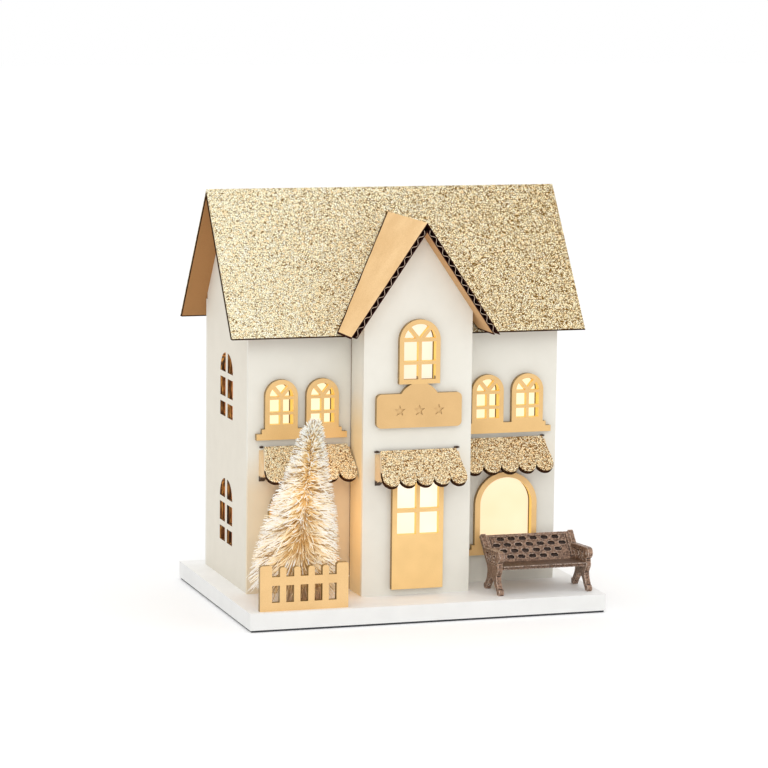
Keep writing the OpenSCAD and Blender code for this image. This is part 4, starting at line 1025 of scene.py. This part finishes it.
def add_bristle(rng, data, heights, share, radius, azimuth, most_tint):
    """One bristle of the brush. It rises at the tree's top and droops at its foot."""
    low_z, high_z = heights
    out = level_way(azimuth)
    tilt = radians(TILT_LOW + TILT_RISE * share + rng.gauss(0, TILT_SPREAD))
    z = low_z + (high_z - low_z) * share
    root_z = max(z - radius * tan(tilt), low_z + ROOT_LOW_GAP)
    root = stem_point(min(root_z, STEM_TOP - ROOT_TOP_GAP)) + out * ROOT_OUT
    sag = SAG_LOW if share < 0.5 else SAG_HIGH
    # Tips whiten near the top; low bristles are browner, partly the fibre's colour and partly painted
    # shade.
    white = max(0.0, share - WHITE_SHARE) * WHITE_GAIN - max(0.0, LOW_SHARE - share) * BROWN_AND_SHADE_GAIN
    add_strand(rng, data, root, stem_point(z) + out * radius, sag, white, most_tint)


def add_bristles(rng, data, heights):
    """Bristles all round the wire, sparse and short in front so that the wire shows."""
    made = 0
    while made < STRANDS:
        share = rng.random()
        radius = tree_reach(share)
        if rng.random() * TREE_PROFILE[0][1] > radius + DENSE_EXTRA:
            continue
        azimuth = rng.uniform(0, tau)
        aside = abs((azimuth - FRONT_AZIMUTH + pi) % tau - pi)
        radius *= rng.uniform(*REACH_RANGE) * (1 - LEFT_GROWTH * cos(azimuth))
        if aside < FRONT_HALF and share < FRONT_TOP_SHARE:
            if rng.random() < (BARE_CHANCE_LOW if share < LOW_SHARE else BARE_CHANCE):
                continue
            radius *= FRONT_SHORTEST + (1 - FRONT_SHORTEST) * aside / FRONT_HALF
        made += 1
        dull = DULL_TINT if aside < DULL_HALF and share < DULL_SHARE else 1.0
        add_bristle(rng, data, heights, share, radius, azimuth, dull)


def add_skirt(rng, data):
    """Long limp bristles at the foot, most of them over the fence's left end."""
    for _ in range(SKIRT_STRANDS):
        out = level_way(radians(rng.choice(SKIRT_AZIMUTHS) + rng.gauss(0, SKIRT_SPREAD)))
        tip_z = rng.uniform(*SKIRT_TIP_Z)
        tip = stem_point(SKIRT_MIDDLE) + out * rng.uniform(*SKIRT_TIP_OUT)
        tip.z = tip_z
        root = stem_point(rng.uniform(*SKIRT_ROOT_Z)) + out * ROOT_OUT
        add_strand(rng, data, root, tip, 0.16, 0.12)


def add_hem(rng, data):
    """Dark limp bristles that hang round the foot behind the fence."""
    for _ in range(HEM_STRANDS):
        out = level_way(radians(rng.uniform(*HEM_AZIMUTHS)))
        tip = stem_point(HEM_MIDDLE) + out * rng.uniform(*HEM_TIP_OUT)
        tip.z = rng.uniform(*HEM_TIP_Z)
        root = stem_point(rng.uniform(*HEM_ROOT_Z)) + out * ROOT_OUT
        add_strand(rng, data, root, tip, 0.10, rng.uniform(*HEM_WHITE), 0.45)


def add_crown(rng, data):
    """Short frosted bristles that close the tree's top."""
    for _ in range(CROWN_STRANDS):
        out = level_way(rng.uniform(0, tau))
        steep = acos(rng.uniform(0.05, 1))
        reach = CROWN_R * rng.uniform(*CROWN_R_RANGE)
        root = stem_point(STEM_TOP - rng.uniform(*CROWN_ROOT_DROP))
        tip = stem_point(CROWN_MIDDLE + reach * cos(steep))
        add_strand(rng, data, root, tip + out * reach * CROWN_WIDE * sin(steep), 0.0, 0.3, 0.85)


def add_stem():
    """Two wires twisted round each other, from the foot to the top."""
    vertices, faces = [], []
    bottom = TREE_FOOT.z - WIRE_SUNK
    count = int((STEM_TOP - bottom) / WIRE_PITCH * WIRE_STEPS)
    for phase in (0, pi):
        points = []
        for step in range(count + 1):
            z = bottom + (STEM_TOP - bottom) * step / count
            turn = phase + tau * step / WIRE_STEPS
            points.append(stem_point(z) + level_way(turn) * WIRE_TWIST_R)
        tube(vertices, faces, points, [WIRE_R] * len(points), WIRE_SIDES)
    piece = add_piece("tree_stem", vertices, faces, plain_material("wire_brass", *WIRE_LOOK), True)
    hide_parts("tree_wire")


def add_tree():
    """All the bristles as one mesh that stands in for the CAD's brush, and the wire."""
    rng = random.Random(TREE_SEED)
    low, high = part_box("tree_bristles")
    data = ([], [], [], [])
    add_bristles(rng, data, (low.z + BRISTLE_LOW_GAP, high.z))
    add_skirt(rng, data)
    add_hem(rng, data)
    add_crown(rng, data)
    vertices, faces, tips, tints = data
    piece = add_piece("tree_strands", vertices, faces, bristle_material())
    for name, values in (("tip", tips), ("tint", tints)):
        piece.data.attributes.new(name, "FLOAT", "POINT").data.foreach_set("value", values)
    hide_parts("tree_bristles")
    add_stem()


# Scorched tabs that hold the awnings

TAB_T = 0.0007
TAB_SHARES = (0.7, 1, 0.6)
TAB_BULGE_Y = -0.0002
TAB_BULGE_Z = 0.0001
TAB_SIDES = 5
# Each tab's middle and its width.
TABS = [
    (-0.0229, -0.0472, 0.0887, 0.0028), (0.0222, -0.0472, 0.0896, 0.003),
    (-0.0806, -0.0247, 0.09, 0.0022), (0.08, -0.0247, 0.0903, 0.0022),
]


def add_tabs():
    """Small burnt card tabs that stick out of the walls over the awnings' top corners."""
    vertices, faces = [], []
    for x, y, z, width in TABS:
        left, right = Vector((x - width / 2, y, z)), Vector((x + width / 2, y, z))
        middle = Vector((x, y + TAB_BULGE_Y, z + TAB_BULGE_Z))
        radii = [TAB_T * share for share in TAB_SHARES]
        tube(vertices, faces, [left, middle, right], radii, TAB_SIDES)
    soot = plain_material("tab_soot", BURNT_LIGHT, BURNT, 0.6, 0.7)
    piece = add_piece("awning_tabs", vertices, faces, soot)


# The CAD's own pieces

EVERYWHERE = [(-1, 1)]
WING_EDGES = [(0.035, 0.082), (-0.082, -0.035)]
BAY_EDGES = [(-0.02, 0.02)]
BAY_SEAM = (-0.0251, -0.0235)
BAY_WARM = (0.12, PAINTED_WARM_LIGHT)
WING_WARM = (0.085, WING_PAINTED_WARM_LIGHT)

ROOF_STOPS = [
    (0.0, (1.0, 0.82, 0.53)), (0.3, (1.0, 0.92, 0.66)),
    (0.7, (1.0, 0.98, 0.77)), (1.0, (1.0, 1.0, 0.90)),
]
ROOF_GAPS = (0.19, 0.105, 0.024)
# Painted shade across the roof, darker to the right.
ROOF_SHADE_ALONG_X = [(0.0, (1.0, 0.985, 0.95)), (0.45, (1.0, 0.98, 0.94)), (1.0, (1.0, 0.94, 0.84))]
ROOF_ANGLE = atan(ROOF_RUN / (RIDGE_H - ROOF_EAVE_H))
ROOF_RIM_H = 0.0007
AWNING_STOPS = [
    (0.0, (1.0, 0.76, 0.44)), (0.3, (1.0, 0.84, 0.55)),
    (0.7, (1.0, 0.92, 0.66)), (1.0, (1.0, 0.98, 0.80)),
]
AWNING_GAPS = (0.20, 0.09, 0.018)
# Painted shade across the awnings, darker to the right.
AWNING_SHADE_ALONG_X = [(0.0, (1.0, 0.985, 0.96)), (1.0, (1.0, 0.94, 0.87))]
AWNING_ANGLE = radians(43.5)
SCALLOP_Z = 0.0788
CHEEK_DARK_H = 0.0048

GOLD_ROUND_MM = 0.18
WINDOW_ROUND_MM = 0.22
# Painted light and shade on the gold: each piece is a lighter or darker copy of the same paint.
SIGN_PAINTED_SHADE = (0.87, 0.86, 0.82)
FENCE_PAINTED_LIGHT = (1.0, 1.01, 1.01)
DOOR_PAINTED_LIGHT = (1.09, 1.11, 1.02)
WINDOW_PAINTED_SHADE = (0.96, 0.96, 0.88)
WINDOW_PAINTED_LIGHTS = {"shop_window_right": (1.08, 1.08, 1.02)}
# The middles of each window's arches along X, and their half width.
WINDOWS = {
    "centre_window": ([0], CENTRE_HALF),
    "twin_window_left": ([-SHOP_X - TWIN_X, -SHOP_X + TWIN_X], TWIN_HALF),
    "twin_window_right": ([SHOP_X - TWIN_X, SHOP_X + TWIN_X], TWIN_HALF),
    "shop_window_left": ([-SHOP_X], SHOP_HALF),
    "shop_window_right": ([SHOP_X], SHOP_HALF),
}
WING_GLOWS = ((1.12, 0.92, 0.67), (1.25, 1.08, 0.80))
BAY_GLOWS = ((1.2, 1.10, 0.98), (1.12, 0.98, 0.86))
# Each film's material, its glows, how far the wall reaches into the arches, and its windows.
FILMS = {
    "film_left": ("wing_film_left", WING_GLOWS, 0.0014, ("twin_window_left", "shop_window_left")),
    "film_right": ("wing_film_right", WING_GLOWS, 0.001, ("twin_window_right", "shop_window_right")),
    "film_bay": ("bay_film", BAY_GLOWS, 0.0007, ("centre_window",)),
}

BASE_ROUND_MM = 0.3
FOOT_ROUND_MM = 0.5
UNDERLAY_LOOK = ((0.03, 0.033, 0.04), (0.016, 0.018, 0.022), 3, 0.7)
FOOT_LOOK = ((0.78, 0.52, 0.30), (0.19, 0.10, 0.045), 2, 0.6, 0.0, 0.08, (3, 3, 0.5))
# Painted shade: the seat is a darker copy of the bench's paint.
SEAT_PAINTED_SHADE = (0.42, 0.36, 0.30)
# Each hidden material: its two colours, grain in mm, roughness and metal, and then its nodes.
INSIDE_LOOKS = {
    "plated_steel": (((0.62, 0.62, 0.63), (0.50, 0.50, 0.51), 1.5, 0.3, 1.0),
                     ("cell_contacts", "cover_screw", "board_screws")),
    "box_white": (((0.74, 0.74, 0.72), (0.70, 0.70, 0.68), 1.2, 0.5), ("battery_box", "battery_cover")),
    "switch_black": (((0.02, 0.02, 0.02), (0.012, 0.012, 0.012), 0.8, 0.45),
                     ("switch_body", "switch_slider")),
    "cell_jacket": (((0.02, 0.05, 0.16), (0.015, 0.04, 0.13), 4, 0.3), ("battery_cells",)),
    "board_green": (((0.015, 0.11, 0.05), (0.01, 0.08, 0.035), 2, 0.3), ("lamp_board",)),
    "resistor_beige": (((0.55, 0.40, 0.22), (0.48, 0.34, 0.18), 1, 0.5), ("resistor",)),
    "lead_red": (((0.35, 0.02, 0.015), (0.28, 0.015, 0.01), 1, 0.4), ("lamp_leads",)),
}
LENS_AMBER = (1, 0.9, 0.7)
LENS_LIGHT = (1, 0.62, 0.25)
LENS_GLOW = 4

WARM = (1.0, 0.66, 0.30)
WARMER = (1.0, 0.55, 0.20)
WARMEST = (1.0, 0.50, 0.14)
# Each lamp's name, place, target, size, power in watts and colour.
HOUSE_LAMPS = [
    ("inside_low", (0, 0.02, 0.03), (0, 0.02, 0.2), (0.09, 0.04), 0.26, WARM),
    ("alcove", (-0.052, -0.04, 0.06), (0, -0.036, 0.06), (0.012, 0.075), 0.0034, WARMEST),
    ("shop_glow", (-SHOP_X, -0.0275, 0.052), (-SHOP_X, -0.2, 0.05), (0.028, 0.034), 0.0037, WARMER),
    ("wing_glow", (-0.075, -0.045, 0.05), (-0.075, 0, 0.045), (0.012, 0.05), 0.0007, WARMEST),
    ("corner_glow", (-0.04, -0.052, 0.05), (-0.037, -0.024, 0.045), (0.008, 0.06), 0.0007, WARMEST),
]


def dress_walls():
    left, right, front, back = (-1, 0, 0), (1, 0, 0), (0, -1, 0), (0, 1, 0)
    walls = {
        "left_wall": wall_material("wall_left_card", left, EVERYWHERE, SIDE_PAINTED_SHADE),
        "right_wall": wall_material("wall_right_card", right, EVERYWHERE, SIDE_PAINTED_SHADE),
        "back_wall": wall_material("wall_back_card", back),
        "bay_side_left": wall_material("bay_left_card", left, (), BAY_PAINTED_LIGHT, BAY_SEAM, BAY_WARM),
        "bay_side_right": wall_material("bay_right_card", right, seam=BAY_SEAM),
        "wing_wall_left": wall_material("wing_left_card", front, WING_EDGES, warm=WING_WARM),
        "wing_wall_right": wall_material("wing_right_card", front, WING_EDGES),
        "bay_front": wall_material("wall_bay_card", front, BAY_EDGES),
    }
    for node, material in walls.items():
        dress(node, material)


def dress_roofs():
    """The glittered boards of the main roof and the awnings, and the awnings' cheeks."""
    for word, side in (("front", -1), ("back", 1)):
        node = "roof_%s_panel" % word
        outward = (0, side * cos(ROOF_ANGLE), sin(ROOF_ANGLE))
        rim_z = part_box(node)[0].z + ROOF_RIM_H
        dress(node, glitter_material(node, outward, ROOF_STOPS, ROOF_GAPS, ROOF_SHADE_ALONG_X, rim_z))
    outward = (0, -cos(AWNING_ANGLE), sin(AWNING_ANGLE))
    for node in ("door_awning", "shop_awning_left", "shop_awning_right"):
        looks = (AWNING_STOPS, AWNING_GAPS, AWNING_SHADE_ALONG_X)
        dress(node, glitter_material(node, outward, *looks, bare_z=SCALLOP_Z))
        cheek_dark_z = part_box(node + "_cheeks")[0].z + CHEEK_DARK_H
        dress(node + "_cheeks", dark_hem_material(node + "_soot", cheek_dark_z))


def window_arches(node):
    """Round-topped outlines just inside the outer edge of a window's frame."""
    middles, half = WINDOWS[node]
    low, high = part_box(node)
    return [(x, high.z - half, half - RIM_W, low.z + SILL_H) for x in middles]


def dress_films():
    """Each film's arches are narrower than the frames' and reach down to the openings' bottom."""
    for node, (name, (low, high), inset, windows) in FILMS.items():
        arches = []
        for window in windows:
            for x, spring, half, bottom in window_arches(window):
                arches.append((x, spring, half - inset, bottom - SILL_H))
        dress(node, film_material(name, low, high, arches))


def dress_gold():
    """The gold sign, fence, windows and door."""
    dress("sign_plate", gold_material("gold_paint_sign", SIGN_PAINTED_SHADE), GOLD_ROUND_MM)
    dress("picket_fence", gold_material("gold_paint_fence", FENCE_PAINTED_LIGHT), GOLD_ROUND_MM)
    for node in WINDOWS:
        # This window's gold made lighter or darker as painted light or painted shade.
        shade = WINDOW_PAINTED_LIGHTS.get(node, WINDOW_PAINTED_SHADE)
        gold = gold_material("gold_paint_" + node, shade, window_arches(node))
        dress(node, gold, WINDOW_ROUND_MM)
    low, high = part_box("door")
    panes = [(0, high.z, DOOR_HALF - RIM_W, low.z + SILL_H)]
    dress("door", gold_material("gold_paint_door", DOOR_PAINTED_LIGHT, panes), GOLD_ROUND_MM)


def dress_house():
    dress_walls()
    dress_roofs()
    dress_gold()
    dress_films()
    dress("base_board", base_material(), BASE_ROUND_MM)
    dress("base_underlay", plain_material("underlay_charcoal", *UNDERLAY_LOOK))


def dress_yard():
    """The tree's foot and the bench."""
    dress("tree_foot", plain_material("foot_wood", *FOOT_LOOK), FOOT_ROUND_MM)
    cast("bench_back_plate", bench_material("bench_back_paint", True))
    cast("bench_seat", bench_material("bench_seat_paint", False, SEAT_PAINTED_SHADE))
    iron = bench_material("bench_end_paint")
    for node in ("bench_end_left", "bench_end_right"):
        cast(node, iron)


def dress_inside():
    """The battery box, its cells and switch, and the lamp board with its lamps."""
    for name, (look, nodes) in INSIDE_LOOKS.items():
        material = plain_material(name, *look)
        for node in nodes:
            dress(node, material)
    lens, tree, shader = new_material("lamp_lens")
    shader.inputs["Base Color"].default_value = rgba(LENS_AMBER)
    shader.inputs["Emission Color"].default_value = rgba(LENS_LIGHT)
    shader.inputs["Emission Strength"].default_value = LENS_GLOW
    finish_of(shader, 0.25)
    dress("lamps", lens)


def add_glow():
    """The light inside the house, and what the lit films throw on the walls and the yard."""
    for lamp in HOUSE_LAMPS:
        add_area(*lamp)


# Build

add_camera()
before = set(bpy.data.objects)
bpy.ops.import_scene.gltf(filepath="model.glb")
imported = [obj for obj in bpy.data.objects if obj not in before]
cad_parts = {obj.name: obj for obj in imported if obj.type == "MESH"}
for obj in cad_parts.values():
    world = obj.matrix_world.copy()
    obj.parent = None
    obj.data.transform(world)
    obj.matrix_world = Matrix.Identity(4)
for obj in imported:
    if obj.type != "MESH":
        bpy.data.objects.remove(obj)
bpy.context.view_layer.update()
add_studio()
add_floor()
dress_house()
dress_yard()
dress_inside()
add_gable_roof()
add_tree()
add_tabs()
add_glow()
